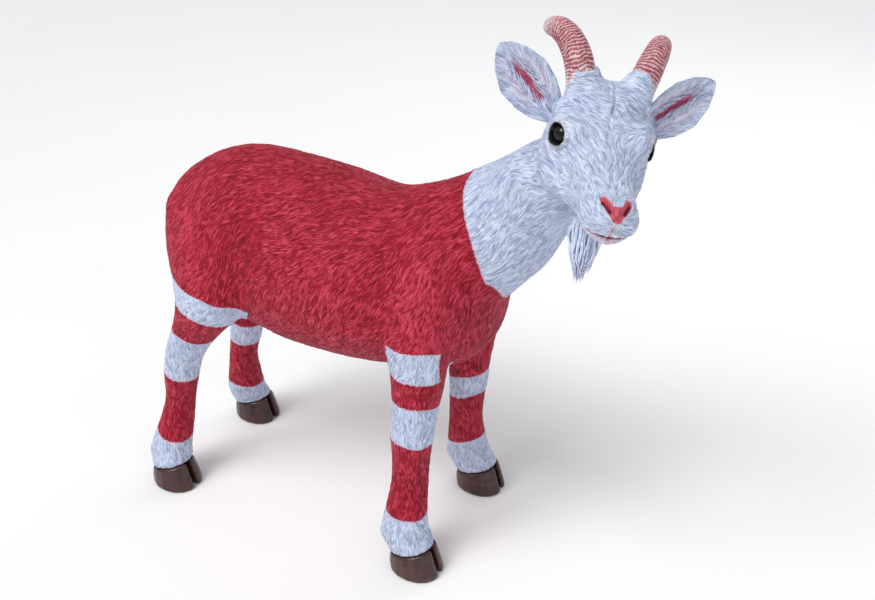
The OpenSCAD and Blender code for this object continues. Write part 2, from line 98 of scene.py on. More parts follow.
def unit(v):
    v = np.asarray(v, float)
    return v / np.maximum(np.linalg.norm(v, axis=-1, keepdims=True), 1e-9)


def step(a, b, x):
    t = np.clip((x - a) / (b - a), 0, 1)
    return t * t * (3 - 2 * t)


def near(p, centre, radii):
    """A soft bump that is 1 at the centre and fades out past the radii."""
    q = (p - np.asarray(centre)) / np.asarray(radii)
    return np.exp(-(q * q).sum(-1))


# ---------- noise ----------

TABLE = np.random.default_rng(11).random((64, 64, 64)).astype(np.float32) * 2 - 1


def noise(p, cell, shift=0.0):
    """Smooth noise from -1 to 1, with features of about one cell."""
    q = (np.asarray(p, np.float32) / cell + shift).astype(np.float32)
    i = np.floor(q).astype(np.int32)
    f = q - i
    f = f * f * (3 - 2 * f)
    a, b = i & 63, (i + 1) & 63
    fx, fy, fz = f[:, 0], f[:, 1], f[:, 2]

    def row(y, z):
        return TABLE[a[:, 0], y, z] * (1 - fx) + TABLE[b[:, 0], y, z] * fx

    low = row(a[:, 1], a[:, 2]) * (1 - fy) + row(b[:, 1], a[:, 2]) * fy
    high = row(a[:, 1], b[:, 2]) * (1 - fy) + row(b[:, 1], b[:, 2]) * fy
    return low * (1 - fz) + high * fz


def strands(p, way, cell, reach, shift):
    """Noise drawn out along a way, which reads as locks of hair lying along it."""
    total, weight = 0, 0
    for t in np.linspace(-1, 1, 9):
        w = 0.5 + 0.5 * math.cos(math.pi * t * 0.95)
        total = total + w * noise(p + way * (t * reach), cell, shift)
        weight += w
    total = total / weight
    return total / max(total.std(), 1e-6)


# ---------- fields ----------

def polygons(names):
    """Points and triangles of CAD nodes, without the faces where two castings meet."""
    points, faces, base = [], [], 0
    for name in names:
        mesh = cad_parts[name].data
        mesh.calc_loop_triangles()
        co = np.empty(len(mesh.vertices) * 3, np.float32)
        mesh.vertices.foreach_get("co", co)
        co = co.reshape(-1, 3).astype(float) / M - ORIGIN
        tri = np.empty(len(mesh.loop_triangles) * 3, np.int32)
        mesh.loop_triangles.foreach_get("vertices", tri)
        tri = tri.reshape(-1, 3)
        q = co[tri]
        seam = (np.abs(q[:, :, 1]) < 0.05).all(1) & ("shell" in name)
        joint = (np.abs(q[:, :, 2] - joint_z) < 0.05).all(1)
        tri = tri[~(seam | joint)]
        points.append(co)
        faces.append(tri + base)
        base += len(co)
    return np.vstack(points), np.vstack(faces)


def skins_facing_out(points, quads):
    """The quads of the closed surfaces that face out, without the walls of any cavity."""
    label = np.arange(len(points))
    edges = np.concatenate([quads[:, [0, 1]], quads[:, [1, 2]], quads[:, [2, 3]]])
    while True:
        low = np.minimum(label[edges[:, 0]], label[edges[:, 1]])
        new = label.copy()
        np.minimum.at(new, edges[:, 0], low)
        np.minimum.at(new, edges[:, 1], low)
        new = new[new]
        if (new == label).all():
            break
        label = new
    a, b, c, d = (points[quads[:, k]] for k in range(4))
    part = (np.cross(b - a, c - a) * a).sum(1) + (np.cross(c - a, d - a) * a).sum(1)
    volume = np.bincount(label[quads[:, 0]], part, len(points))
    biggest = volume[np.abs(volume).argmax()]
    return quads[(volume * np.sign(biggest))[label[quads[:, 0]]] > 0]


def field(names, low, high, voxel, band, lift):
    """Signed distance to the outside of some CAD nodes on a grid, in millimetres.

    The lift closes gaps up to twice its own width, so that hollow castings come out solid."""
    points, faces = polygons(names)
    scale = vdb.createLinearTransform(voxelSize=voxel)
    grid = vdb.FloatGrid.createLevelSetFromPolygons(
        points.astype(np.float32), triangles=faces.astype(np.uint32),
        transform=scale, halfWidth=lift / voxel + 2)
    points, quads = grid.convertToQuads(isovalue=lift)
    quads = skins_facing_out(points.astype(float), quads.astype(np.int64))
    grid = vdb.FloatGrid.createLevelSetFromPolygons(
        points, quads=quads.astype(np.uint32), transform=scale, halfWidth=band / voxel)
    first = np.floor(np.array(low) / voxel).astype(int)
    size = np.ceil(np.array(high) / voxel).astype(int) - first
    values = np.full(size, band, np.float32)
    grid.copyToArray(values, ijk=tuple(int(i) for i in first))
    return values + np.float32(lift), first


def resample(values, first, voxel, low, high, fine):
    """Part of a field on a finer grid."""
    start = np.floor(np.array(low) / fine).astype(int)
    size = np.ceil(np.array(high) / fine).astype(int) - start
    for axis in range(3):
        at = (np.arange(size[axis]) + start[axis]) * fine / voxel - first[axis]
        i = np.clip(np.floor(at).astype(int), 0, values.shape[axis] - 2)
        f = (at - i).astype(np.float32).reshape([-1 if k == axis else 1 for k in range(3)])
        values = np.take(values, i, axis) * (1 - f) + np.take(values, i + 1, axis) * f
    return values, start


def blur(a, sigma):
    r = max(1, int(3 * sigma + 0.5))
    k = np.exp(-0.5 * (np.arange(-r, r + 1) / sigma) ** 2)
    k = (k / k.sum()).astype(np.float32)
    for axis in range(3):
        pad = [(0, 0)] * 3
        pad[axis] = (r, r)
        b = np.pad(a, pad, mode="edge")
        n = a.shape[axis]
        out = np.zeros_like(a)
        for i, w in enumerate(k):
            cut = [slice(None)] * 3
            cut[axis] = slice(i, i + n)
            out += w * b[tuple(cut)]
        a = out
    return a


def surface(values, first, voxel):
    """Points and quads of the zero level of a field."""
    grid = vdb.FloatGrid(float(values.max()))
    grid.copyFromArray(np.ascontiguousarray(values), ijk=tuple(int(i) for i in first))
    grid.transform = vdb.createLinearTransform(voxelSize=voxel)
    points, quads = grid.convertToQuads(isovalue=0.0)
    return np.asarray(points, float), np.asarray(quads, np.int64)


def grid_points(first, shape, voxel):
    axes = [(np.arange(n) + f) * voxel for n, f in zip(shape, first)]
    return np.stack(np.meshgrid(*axes, indexing="ij"), -1)


def join(a, b, k):
    """Smooth union of two fields."""
    h = np.clip(0.5 + 0.5 * (b - a) / k, 0, 1)
    return b * (1 - h) + a * h - k * h * (1 - h)


def carve(a, b, k):
    """Smooth cut of field b out of field a."""
    return -join(-a, b, k)


def ball(p, centre, radii):
    q = (p - np.asarray(centre)) / np.asarray(radii)
    n = np.sqrt((q * q).sum(-1))
    return (n - 1) * min(radii)


def capsule(p, a, b, r, flat=(1, 1, 1)):
    f = np.asarray(flat, float)
    a, b, p = np.asarray(a) / f, np.asarray(b) / f, p / f
    ab = b - a
    t = np.clip(((p - a) @ ab) / (ab @ ab), 0, 1)
    d = p - a - t[..., None] * ab
    return np.sqrt((d * d).sum(-1)) - r


# ---------- meshes ----------

def make(name, points, faces):
    mesh = bpy.data.meshes.new(name)
    mesh.from_pydata([tuple(p) for p in (np.asarray(points) + ORIGIN) * M], [],
                     [tuple(int(i) for i in f) for f in faces])
    mesh.validate()
    piece = bpy.data.objects.new(name, mesh)
    bpy.context.scene.collection.objects.link(piece)
    return piece


def make_quads(name, points, quads):
    """A mesh of quads, made fast from arrays."""
    mesh = bpy.data.meshes.new(name)
    mesh.vertices.add(len(points))
    mesh.vertices.foreach_set("co", ((points + ORIGIN) * M).astype(np.float32).ravel())
    mesh.loops.add(quads.size)
    mesh.loops.foreach_set("vertex_index", quads.astype(np.int32).ravel())
    mesh.polygons.add(len(quads))
    mesh.polygons.foreach_set("loop_start", np.arange(0, quads.size, 4, dtype=np.int32))
    mesh.update(calc_edges=True)
    mesh.validate()
    piece = bpy.data.objects.new(name, mesh)
    bpy.context.scene.collection.objects.link(piece)
    return piece


def refine(piece, levels=1):
    m = piece.modifiers.new("refine", "SUBSURF")
    m.levels = m.render_levels = levels
    bake_modifiers(piece)


def bake_modifiers(piece):
    graph = bpy.context.evaluated_depsgraph_get()
    new = bpy.data.meshes.new_from_object(piece.evaluated_get(graph))
    old = piece.data
    piece.modifiers.clear()
    piece.data = new
    bpy.data.meshes.remove(old)


def points_of(piece):
    co = np.empty(len(piece.data.vertices) * 3, np.float32)
    piece.data.vertices.foreach_get("co", co)
    return co.reshape(-1, 3).astype(float) / M - ORIGIN


def normals_of(piece):
    n = np.empty(len(piece.data.vertices) * 3, np.float32)
    piece.data.vertices.foreach_get("normal", n)
    return n.reshape(-1, 3).astype(float)


def set_points(piece, points):
    piece.data.vertices.foreach_set("co", ((points + ORIGIN) * M).astype(np.float32).ravel())
    piece.data.update()


KINDS = {1: ("FLOAT", "value"), 3: ("FLOAT_VECTOR", "vector"), 4: ("FLOAT_COLOR", "color")}


def store(piece, name, values):
    values = np.asarray(values, np.float32)
    kind, field_ = KINDS[1 if values.ndim == 1 else values.shape[1]]
    a = piece.data.attributes.new(name, kind, "POINT")
    a.data.foreach_set(field_, values.ravel())


def finish_piece(piece, nodes, material, smooth=True):
    piece.data.materials.clear()
    piece.data.materials.append(material)
    piece.data.polygons.foreach_set("use_smooth", np.full(len(piece.data.polygons), smooth))
    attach(piece, "root")
    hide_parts(*nodes)
    return piece


# ---------- shader helpers ----------

class Nodes:
    """Short names for building one material."""

    def __init__(self, name):
        self.material = bpy.data.materials.new(name)
        self.material.use_nodes = True
        self.tree = self.material.node_tree
        self.bsdf = self.tree.nodes["Principled BSDF"]

    def add(self, kind, **props):
        n = self.tree.nodes.new(kind)
        for k, v in props.items():
            setattr(n, k, v)
        return n

    def link(self, a, b):
        self.tree.links.new(a, b)

    def put(self, socket, value):
        if isinstance(value, bpy.types.NodeSocket):
            self.link(value, socket)
        else:
            socket.default_value = value

    def math(self, op, a, b=0.0, c=None, clamp=False):
        n = self.add("ShaderNodeMath", operation=op, use_clamp=clamp)
        self.put(n.inputs[0], a)
        self.put(n.inputs[1], b)
        if c is not None:
            self.put(n.inputs[2], c)
        return n.outputs[0]

    def span(self, value, a, b, lo=0.0, hi=1.0):
        n = self.add("ShaderNodeMapRange", interpolation_type="SMOOTHSTEP")
        self.put(n.inputs[0], value)
        for i, v in zip((1, 2, 3, 4), (a, b, lo, hi)):
            n.inputs[i].default_value = v
        return n.outputs[0]

    def mix(self, share, a, b):
        n = self.add("ShaderNodeMix", data_type="RGBA")
        self.put(n.inputs[0], share)
        self.put(n.inputs[6], (*a, 1) if isinstance(a, tuple) else a)
        self.put(n.inputs[7], (*b, 1) if isinstance(b, tuple) else b)
        return n.outputs[2]

    def attribute(self, name, out="Fac"):
        return self.add("ShaderNodeAttribute", attribute_name=name).outputs[out]

    def place(self, stretch=(1, 1, 1)):
        m = self.add("ShaderNodeMapping")
        self.link(self.add("ShaderNodeTexCoord").outputs["Object"], m.inputs[0])
        m.inputs["Scale"].default_value = stretch
        return m.outputs[0]

    def noise(self, scale, detail=2.0, rough=0.5, vector=None):
        n = self.add("ShaderNodeTexNoise")
        n.inputs["Scale"].default_value = scale
        n.inputs["Detail"].default_value = detail
        n.inputs["Roughness"].default_value = rough
        self.link(vector or self.place(), n.inputs["Vector"])
        return n.outputs[0]

    def hair(self, scale, reach):
        """Fine noise drawn out along the way the hair lies."""
        here = self.add("ShaderNodeTexCoord").outputs["Object"]
        way = self.attribute("comb", "Vector")
        total = None
        for t in (-1, -0.62, -0.28, 0.06, 0.38, 0.70, 1):
            v = self.add("ShaderNodeVectorMath", operation="MULTIPLY_ADD")
            self.link(way, v.inputs[0])
            v.inputs[1].default_value = (reach * t,) * 3
            self.link(here, v.inputs[2])
            n = self.noise(scale, 1, 0.5, v.outputs[0])
            total = n if total is None else self.math("ADD", total, n)
        return self.span(total, 2.85, 4.15)

    def bump(self, height, strength, distance):
        n = self.add("ShaderNodeBump")
        n.inputs["Strength"].default_value = strength
        n.inputs["Distance"].default_value = distance
        self.put(n.inputs["Height"], height)
        self.link(n.outputs[0], self.bsdf.inputs["Normal"])

    def set(self, **values):
        for k, v in values.items():
            socket = self.bsdf.inputs[k.replace("_", " ")]
            self.put(socket, (*v, 1) if isinstance(v, tuple) and len(v) == 3 else v)


def coat_material():
    s = Nodes("painted_fur")
    fur = s.attribute("fur")
    hair = s.hair(1050, 0.0030)
    grain = s.noise(1500, 2, 0.6)
    blotch = s.noise(28, 3, 0.55)
    edge = s.math("ADD", s.attribute("paint"),
                  s.math("MULTIPLY", s.math("SUBTRACT", s.noise(300, 2, 0.6), 0.5), 2.2))
    edge = s.math("ADD", edge, s.math("MULTIPLY", s.math("SUBTRACT", hair, 0.5), 2.2))
    red = s.span(edge, -0.35, 0.35)
    lit = s.math("ADD", s.math("MULTIPLY", fur, 0.36), s.math("MULTIPLY", hair, 0.56))
    lit = s.math("ADD", lit, s.math("MULTIPLY", s.math("SUBTRACT", grain, 0.42), 0.45))
    # Colours by relief: the dark red and the blue-grey in the hollows are painted shade; the pale
    # tops are painted highlight together with the dry-brushed paint.
    reds = s.mix(s.span(lit, 0.28, 0.50), (0.150, 0.0003, 0.007), (0.34, 0.002, 0.020))
    reds = s.mix(s.span(lit, 0.50, 0.80), reds, (0.62, 0.060, 0.11))
    reds = s.mix(s.span(blotch, 0.42, 0.75, 0.0, 0.30), reds, (0.38, 0.002, 0.022))
    whites = s.mix(s.span(lit, 0.24, 0.48), (0.24, 0.29, 0.43), (0.46, 0.52, 0.70))
    whites = s.mix(s.span(lit, 0.46, 0.78), whites, (0.70, 0.77, 0.93))
    whites = s.mix(s.span(blotch, 0.45, 0.8, 0.0, 0.25), whites, (0.40, 0.46, 0.65))
    dark_rim = s.math("MULTIPLY", s.span(edge, 0.0, 0.4), s.span(edge, 0.7, 1.6, 1.0, 0.0))
    pale_rim = s.math("MULTIPLY", s.span(edge, -1.9, -0.9), s.span(edge, -0.3, 0.0, 1.0, 0.0))
    reds = s.mix(s.math("MULTIPLY", dark_rim, 0.6), reds, (0.10, 0.001, 0.006))
    whites = s.mix(s.math("MULTIPLY", pale_rim, 0.55), whites, (0.80, 0.50, 0.58))
    colour = s.mix(red, whites, reds)
    wash = s.add("ShaderNodeAttribute", attribute_name="wash")
    # The brushed face colours are scaled by the relief: darker in the hollows as painted shade,
    # lighter on the tops as painted highlight.
    shade = s.span(lit, 0.15, 0.85, 0.72, 1.12)
    tint = s.add("ShaderNodeVectorMath", operation="SCALE")
    s.link(wash.outputs["Color"], tint.inputs[0])
    s.link(shade, tint.inputs["Scale"])
    colour = s.mix(wash.outputs["Alpha"], colour, tint.outputs[0])
    s.set(Base_Color=colour, Roughness=s.span(lit, 0.2, 0.9, 0.66, 0.46))
    s.bsdf.inputs["Specular IOR Level"].default_value = 0.22
    s.bump(s.math("ADD", s.math("MULTIPLY", grain, 0.25), hair), 0.65, 0.0007)
    return s.material


def horn_material():
    s = Nodes("painted_horn")
    ridge = s.attribute("fur")
    share = s.attribute("paint")
    mottle = s.noise(170, 3, 0.6)
    fine = s.noise(900, 2, 0.6)
    lit = s.math("ADD", ridge, s.math("MULTIPLY", s.math("SUBTRACT", fine, 0.5), 1.6))
    # Lighter on the ridges and darker in the grooves: partly painted highlight and painted shade,
    # partly the horn's own pale and red striping.
    pink = s.mix(s.span(lit, 0.20, 0.62), (0.19, 0.018, 0.030), (0.42, 0.13, 0.15))
    pink = s.mix(s.span(lit, 0.55, 0.95), pink, (0.70, 0.50, 0.53))
    ends = s.math("ADD", share, s.math("MULTIPLY", s.math("SUBTRACT", mottle, 0.5), 0.35))
    white = s.mix(s.span(lit, 0.15, 0.70), (0.36, 0.20, 0.22), (0.80, 0.72, 0.74))
    body = s.mix(s.span(ends, 0.62, 1.0), pink, white)
    body = s.mix(s.span(ends, 0.02, 0.20, 1.0, 0.0), body, white)
    s.set(Base_Color=s.mix(s.span(mottle, 0.50, 0.72, 0.0, 0.55), body, (0.34, 0.035, 0.05)),
          Roughness=s.span(ridge, 0.2, 0.9, 0.58, 0.42))
    s.bump(s.math("ADD", s.math("MULTIPLY", fine, 0.6), ridge), 0.6, 0.0006)
    return s.material


def hoof_material():
    s = Nodes("painted_hoof")
    streak = s.noise(120, 4, 0.6, s.place((1.0, 1.0, 0.25)))
    rings = s.noise(60, 2, 0.5, s.place((0.3, 0.3, 6.0)))
    base = s.mix(s.span(streak, 0.3, 0.7), (0.026, 0.006, 0.006), (0.070, 0.020, 0.018))
    base = s.mix(s.span(rings, 0.5, 0.8, 0.0, 0.5), base, (0.095, 0.036, 0.026))
    s.set(Base_Color=base, Roughness=s.span(streak, 0.3, 0.8, 0.26, 0.42))
    s.bsdf.inputs["Coat Weight"].default_value = 0.12
    s.bsdf.inputs["Coat Roughness"].default_value = 0.22
    s.bump(s.math("ADD", rings, s.math("MULTIPLY", s.noise(900, 2), 0.3)), 0.35, 0.0006)
    return s.material


def eye_material():
    s = Nodes("glossy_eye")
    iris = s.attribute("paint")
    flecks = s.noise(600, 3, 0.6)
    brown = s.mix(flecks, (0.006, 0.004, 0.003), (0.022, 0.013, 0.009))
    s.set(Base_Color=s.mix(s.span(iris, 0.35, 0.75), (0.004, 0.004, 0.005), brown),
          Roughness=s.span(flecks, 0.2, 0.8, 0.05, 0.09))
    s.bsdf.inputs["Specular IOR Level"].default_value = 0.32
    s.bump(flecks, 0.04, 0.0001)
    return s.material


def plain_material(name, dark, light, rough, metal=0.0, scale=400):
    s = Nodes(name)
    grain = s.noise(scale, 4, 0.6)
    s.set(Base_Color=s.mix(s.span(grain, 0.3, 0.7), dark, light),
          Roughness=s.span(grain, 0.2, 0.8, rough - 0.1, rough + 0.12))
    s.bsdf.inputs["Metallic"].default_value = metal
    s.bump(grain, 0.3, 0.0003)
    return s.material


COAT = coat_material()
HORN = horn_material()
HOOF = hoof_material()
EYE = eye_material()

# ---------- paint ----------

# For each leg: whether it is in front, its side, the levels where the paint changes going
# down from the red coat, and how much each line climbs towards the tail or the chest.
LEGS = {
    "front_right": (1, -1, (301, 262, 227, 174, 77), -0.05),
    "front_left": (1, 1, (186, 155, 82), 0.30),
    "rear_right": (-1, -1, (303, 270, 231, 161, 71), -0.26),
    "rear_left": (-1, 1, (174, 142, 67), -0.15),
}
REAR_LINE = ((0, -183), (70, -182), (160, -158), (230, -136), (300, -98), (330, -85))
FRONT_LINE = ((0, 183), (80, 168), (230, 176), (300, 180), (330, 180))


def along_leg(z, line):
    h, x = zip(*line)
    return np.interp(z, h, x)


def paint(p):
    """Distance to the nearest paint edge, in millimetres: above 0 is red, below is white."""
    x, y, z = p[:, 0], p[:, 1], p[:, 2]
    line = np.interp(z, (300, 345, 377, 396, 428, 454, 469, 480, 640),
                     (262, 255, 247, 243, 232, 220, 212, 211, 205))
    wave = 2.0 * noise(p, 22, 3.3)
    bib = np.minimum((x - line) * 0.93, (z - 341 - 0.95 * np.abs(y + 12)) * 0.75)
    white = bib + wave * 0.6
    for end, side, levels, slope in LEGS.values():
        mid = along_leg(z, FRONT_LINE if end > 0 else REAR_LINE)
        s = z - slope * (x - mid) + wave
        lv = np.array(levels, float)
        gap = np.abs(s[:, None] - lv).min(1)
        bands = np.where((s[:, None] < lv).sum(1) % 2 == 1, gap, -gap)
        if end > 0:
            zone = 1.6 * np.minimum(30 - np.abs(x - mid), side * y - 44)
        else:
            front_edge = -37 + (z - 291) * 0.9
            zone = 1.6 * np.minimum(np.maximum(front_edge, mid + 36) - x, side * y - 22)
        zone = np.where(z > 225, zone, np.minimum(side * y, end * (x + 5)))
        white = np.maximum(white, np.minimum(bands, zone))
    return -white


# ---------- fur ----------

def flow(p):
    """The way the hair lies, before it is pressed onto the surface."""
    x, y, z = p[:, 0:1], p[:, 1:2], p[:, 2:3]
    side = np.tanh(y / 12)
    low = step(430, 300, z)
    trunk = np.concatenate([-1.0 + 0.35 * low, side * (0.45 - 0.2 * low), -0.25 - 0.75 * low], 1)
    shoulder = near(p, (190, 0, 350), (62, 400, 110))[:, None]
    haunch = near(p, (-120, 0, 350), (75, 400, 100))[:, None]
    trunk = trunk * (1 - shoulder) + shoulder * np.array([-0.30, 0, -1.0])
    curl = np.concatenate([-0.35 + 0 * x, 0.25 * side, -1.0 + 0 * x], 1)
    trunk = trunk * (1 - haunch) + haunch * curl
    leg = step(262, 225, z) * np.array([0.0, 0.0, -1.0]) + 0 * p
    w = step(275, 225, z)
    way = trunk * (1 - w) + leg * w
    neck = step(225, 262, x + 0.35 * (z - 400))
    down = np.concatenate([-0.62 + 0 * x, 0.30 * side, -0.78 + 0 * x], 1)
    way = way * (1 - neck) + down * neck
    q = to_head(p)
    hx, hy, hz = q[:, 0:1], q[:, 1:2], q[:, 2:3]
    hs = np.tanh(hy / 3)
    face = np.concatenate([-1.0 + 0 * hx, 0.35 * hs, -0.35 + 0.6 * step(-30, 20, hz)], 1)
    brow = step(35, 72, 95 - hx + 0 * hz) * step(15, 32, hz)
    swept = np.concatenate([-0.25 + 0 * hx, 1.0 * hs, -0.25 + 0 * hx], 1)
    face = face * (1 - brow) + swept * brow
    inside = step(-62, -30, hx) * step(75, 60, np.abs(hy)) * step(-62, -48, hz)
    return way * (1 - inside) + (face @ HEAD.T) * inside


def groom(piece, amount=1.0, keep_smooth=None, shade=0.0):
    """Presses carved hair into a skin and stores its relief (also used for painted shade and painted
    highlight) and paint. Returns the relief.
    """
    p, n = points_of(piece), normals_of(piece)
    way = unit(flow(p))
    bend = 0.42 * noise(p, 38, 0.7) + 0.40 * noise(p, 12, 5.1)
    across = np.cross(n, way)
    way = way * np.cos(bend)[:, None] + across * np.sin(bend)[:, None]
    way = unit(way - n * (way * n).sum(1)[:, None])
    fine = strands(p, way, 1.9, 4.8, 1.7)
    bold = strands(p, way, 3.4, 7.5, 9.2)
    h = 0.72 * np.tanh(fine * 0.9) + 0.36 * np.tanh(bold * 0.9)
    soft = np.ones(len(p)) if keep_smooth is None else 1 - keep_smooth(p)
    depth = 0.45 * amount * soft
    set_points(piece, p + n * (h * depth)[:, None])
    # The stored relief makes the coat darker in the hollows between strands (painted shade) and
    # lighter on the strand tops (painted highlight, together with the dry-brushed paint there); the
    # shade passed in adds painted shade and painted highlight.
    store(piece, "fur", np.clip(0.5 + 0.42 * h * (0.35 + 0.65 * soft) + shade, -0.2, 1.2))
    store(piece, "paint", paint(p))
    store(piece, "comb", way)
    return h


# ---------- the skin of body, neck and legs ----------

SKIN_NODES = ["body_shell_left", "body_shell_right", "neck_shell", "head_shell"]
SKIN_NODES += [part + leg for part in ("leg_", "rod_") for leg in LEGS]
SKIN_NODES += ["horn_dowels", "ear_dowels", "beard_dowel", "tail_dowel", "eye_left", "eye_right"]
VOXEL = 2.0

solid, first = field(SKIN_NODES, (-230, -160, 0), (460, 160, 640), VOXEL, 20.0, 3.6)
height = (np.arange(solid.shape[2]) + first[2]) * VOXEL
share = step(222, 300, height)[None, None, :].astype(np.float32)
values = blur(solid, 2.6 / VOXEL) * (1 - share) + (blur(solid, 6.0 / VOXEL) - 1.2) * share
skin_points, skin_quads = surface(values.astype(np.float32), first, VOXEL)

# Muscles and hollows: centre, radii and height. Each lies on both sides.
MUSCLES = [
    ((192, 92, 372), (36, 45, 62), 6.5),      # shoulder
    ((178, 88, 312), (30, 40, 34), 4.0),      # upper arm
    ((146, 98, 372), (15, 40, 60), -4.5),     # crease behind the shoulder
    ((222, 80, 395), (16, 40, 50), -2.5),     # crease ahead of the shoulder
    ((60, 100, 345), (80, 40, 60), 3.0),      # ribs
    ((-42, 90, 372), (26, 40, 50), -5.0),     # flank hollow
    ((-118, 84, 372), (42, 50, 52), 5.5),     # haunch
    ((-100, 90, 300), (34, 40, 36), 3.5),     # thigh
    ((-62, 86, 322), (15, 40, 34), -3.5),     # crease ahead of the thigh
    ((-150, 40, 410), (30, 26, 30), 2.5),     # pin bone
    ((170, 78, 176), (26, 26, 17), 2.4),      # front knee
    ((176, 86, 118), (30, 26, 26), -1.6),     # front shin
    ((168, 94, 62), (22, 26, 14), 2.0),       # front fetlock
    ((-172, 78, 158), (22, 24, 16), 2.6),     # hock
    ((-176, 80, 112), (28, 24, 24), -1.4),    # rear shin
    ((-190, 84, 60), (22, 26, 14), 2.2),      # rear fetlock
]


def muscles(p, n):
    out = np.zeros(len(p))
    for centre, radii, high in MUSCLES:
        for side in (-1, 1):
            c = (centre[0], centre[1] * side, centre[2])
            out += 1.45 * high * near(p, c, radii) * step(-0.2, 0.5, n[:, 1] * side + 0.35)
    return out + 1.2 * noise(p, 55, 2.2) * step(240, 300, p[:, 2])


def dewclaws(p, n):
    """Two small claws at the back of each pastern."""
    out = np.zeros(len(p))
    for end, side, _, _ in LEGS.values():
        for claw in (-1, 1):
            c = (end * 183 - (38 if end > 0 else 36), side * 90 + claw * 11, 47)
            out += 4.2 * near(p, c, (10, 7, 10))
        c = (end * 183 - 34, side * 90, 46)
        out -= 1.5 * near(p, c, (12, 4, 12))
    return p + n * out[:, None]



# The planes where the neck meets the body and the head: a point, and the way to the head.
COLLAR = (np.array([224.9, 0, 406.2]), unit([136.53, 0, 45.76]))
NAPE = (np.array([275.0, -8.75, 466.15]), unit([0.6461, -0.1139, 0.7547]))


def ahead(p, plane):
    return (p - plane[0]) @ plane[1]


def snap(p, quads, value, normal, reach):
    """Moves the points nearest a plane onto it, so that it runs along edges."""
    a = quads.ravel()
    b = np.roll(quads, -1, 1).ravel()
    cross = value[a] * value[b] < 0
    a, b = a[cross], b[cross]
    pick = np.where(np.abs(value[a]) < np.abs(value[b]), a, b)
    pick = np.unique(pick)
    pick = pick[np.abs(value[pick]) < reach]
    p[pick] -= normal * value[pick][:, None]
    return p


def loops_of(quads):
    """The open edges of a set of quads, as closed loops of point numbers."""
    a, b = quads.ravel(), np.roll(quads, -1, 1).ravel()
    n = int(quads.max()) + 1
    key, back = a * n + b, b * n + a
    free = ~np.isin(key, back)
    after = {}
    for i, j in zip(b[free].tolist(), a[free].tolist()):
        after.setdefault(i, []).append(j)
    loops = []
    while after:
        start = next(iter(after))
        loop, at = [start], start
        while True:
            nxt = after[at].pop()
            if not after[at]:
                del after[at]
            if nxt == start or nxt not in after:
                break
            loop.append(nxt)
            at = nxt
        loops.append(loop)
    return loops


def split_loops(loops, p):
    """Splits a loop that turns from the middle plane to the collar, so that each cap is flat."""
    out = []
    for loop in loops:
        on = np.abs(ahead(p[loop], COLLAR)) < 1.7
        if on.all() or on.sum() < 12:
            out.append(loop)
            continue
        n = len(loop)
        twice = np.concatenate([on, on]).astype(int)
        best, start, run = 0, 0, 0
        for i, hit in enumerate(twice):
            run = run + 1 if hit else 0
            if best < run <= n:
                best, start = run, i - run + 1
        turned = loop[start % n:] + loop[:start % n]
        out.append(turned[:best])
        out.append(turned[best - 1:] + turned[:1])
    return out


def part_of(name, points, quads, keep, normals, layers):
    """One closed piece of a skin, cut along its edges and capped inside."""
    faces = quads[keep]
    used, inverse = np.unique(faces, return_inverse=True)
    faces = inverse.reshape(faces.shape)
    p = points[used]
    piece = make_quads(name, p, faces)
    caps = []
    for loop in split_loops(loops_of(faces), p):
        if len(loop) < 3:
            continue
        ring = p[loop]
        c = ring - ring.mean(0)
        axes = np.linalg.svd(c, full_matrices=False)[2]
        flat = [Vector((float(u), float(v), 0)) for u, v in c @ axes[:2].T]
        out = np.cross(c, np.roll(c, -1, 0)).sum(0)
        for t in tessellate_polygon([flat]):
            i, j, k = (loop[n] for n in t)
            up = np.cross(p[j] - p[i], p[k] - p[i]) @ out
            caps.append((i, j, k) if up > 0 else (i, k, j))
    if caps:
        bm = bmesh.new()
        bm.from_mesh(piece.data)
        bm.verts.ensure_lookup_table()
        for t in caps:
            try:
                bm.faces.new([bm.verts[k] for k in t])
            except ValueError:
                pass
        bm.to_mesh(piece.data)
        bm.free()
    for key, v in layers.items():
        store(piece, key, v[used])
    piece.data.polygons.foreach_set("use_smooth", np.ones(len(piece.data.polygons), bool))
    piece.data.normals_split_custom_set_from_vertices(normals[used].tolist())
    return piece


def layer(piece, name):
    a = piece.data.attributes[name]
    wide, key = next((n, k) for n, (kind, k) in KINDS.items() if kind == a.data_type)
    v = np.empty(len(a.data) * wide, np.float32)
    a.data.foreach_get(key, v)
    return v.reshape(-1, wide) if wide > 1 else v


def quads_of(piece):
    q = np.empty(len(piece.data.loops), np.int32)
    piece.data.loops.foreach_get("vertex_index", q)
    return q.reshape(-1, 4).astype(np.int64)


def outward(points, quads):
    """The quads turned so that they face out of the solid."""
    a, b, c = (points[quads[:, k]] for k in (0, 1, 2))
    d = points[quads[:, 3]]
    six = (np.cross(b - a, c - a) * a).sum() + (np.cross(c - a, d - a) * a).sum()
    return quads if six > 0 else quads[:, ::-1]


skin = make_quads("skin", skin_points, outward(skin_points, skin_quads))
refine(skin)
raised = muscles(points_of(skin), normals_of(skin))
swell = points_of(skin) + normals_of(skin) * raised[:, None]
set_points(skin, dewclaws(swell, normals_of(skin)))
# The muscle relief is also passed as shade: darker in the creases and lighter on the bulges, as
# painted shade and painted highlight.
groom(skin, shade=0.032 * raised)

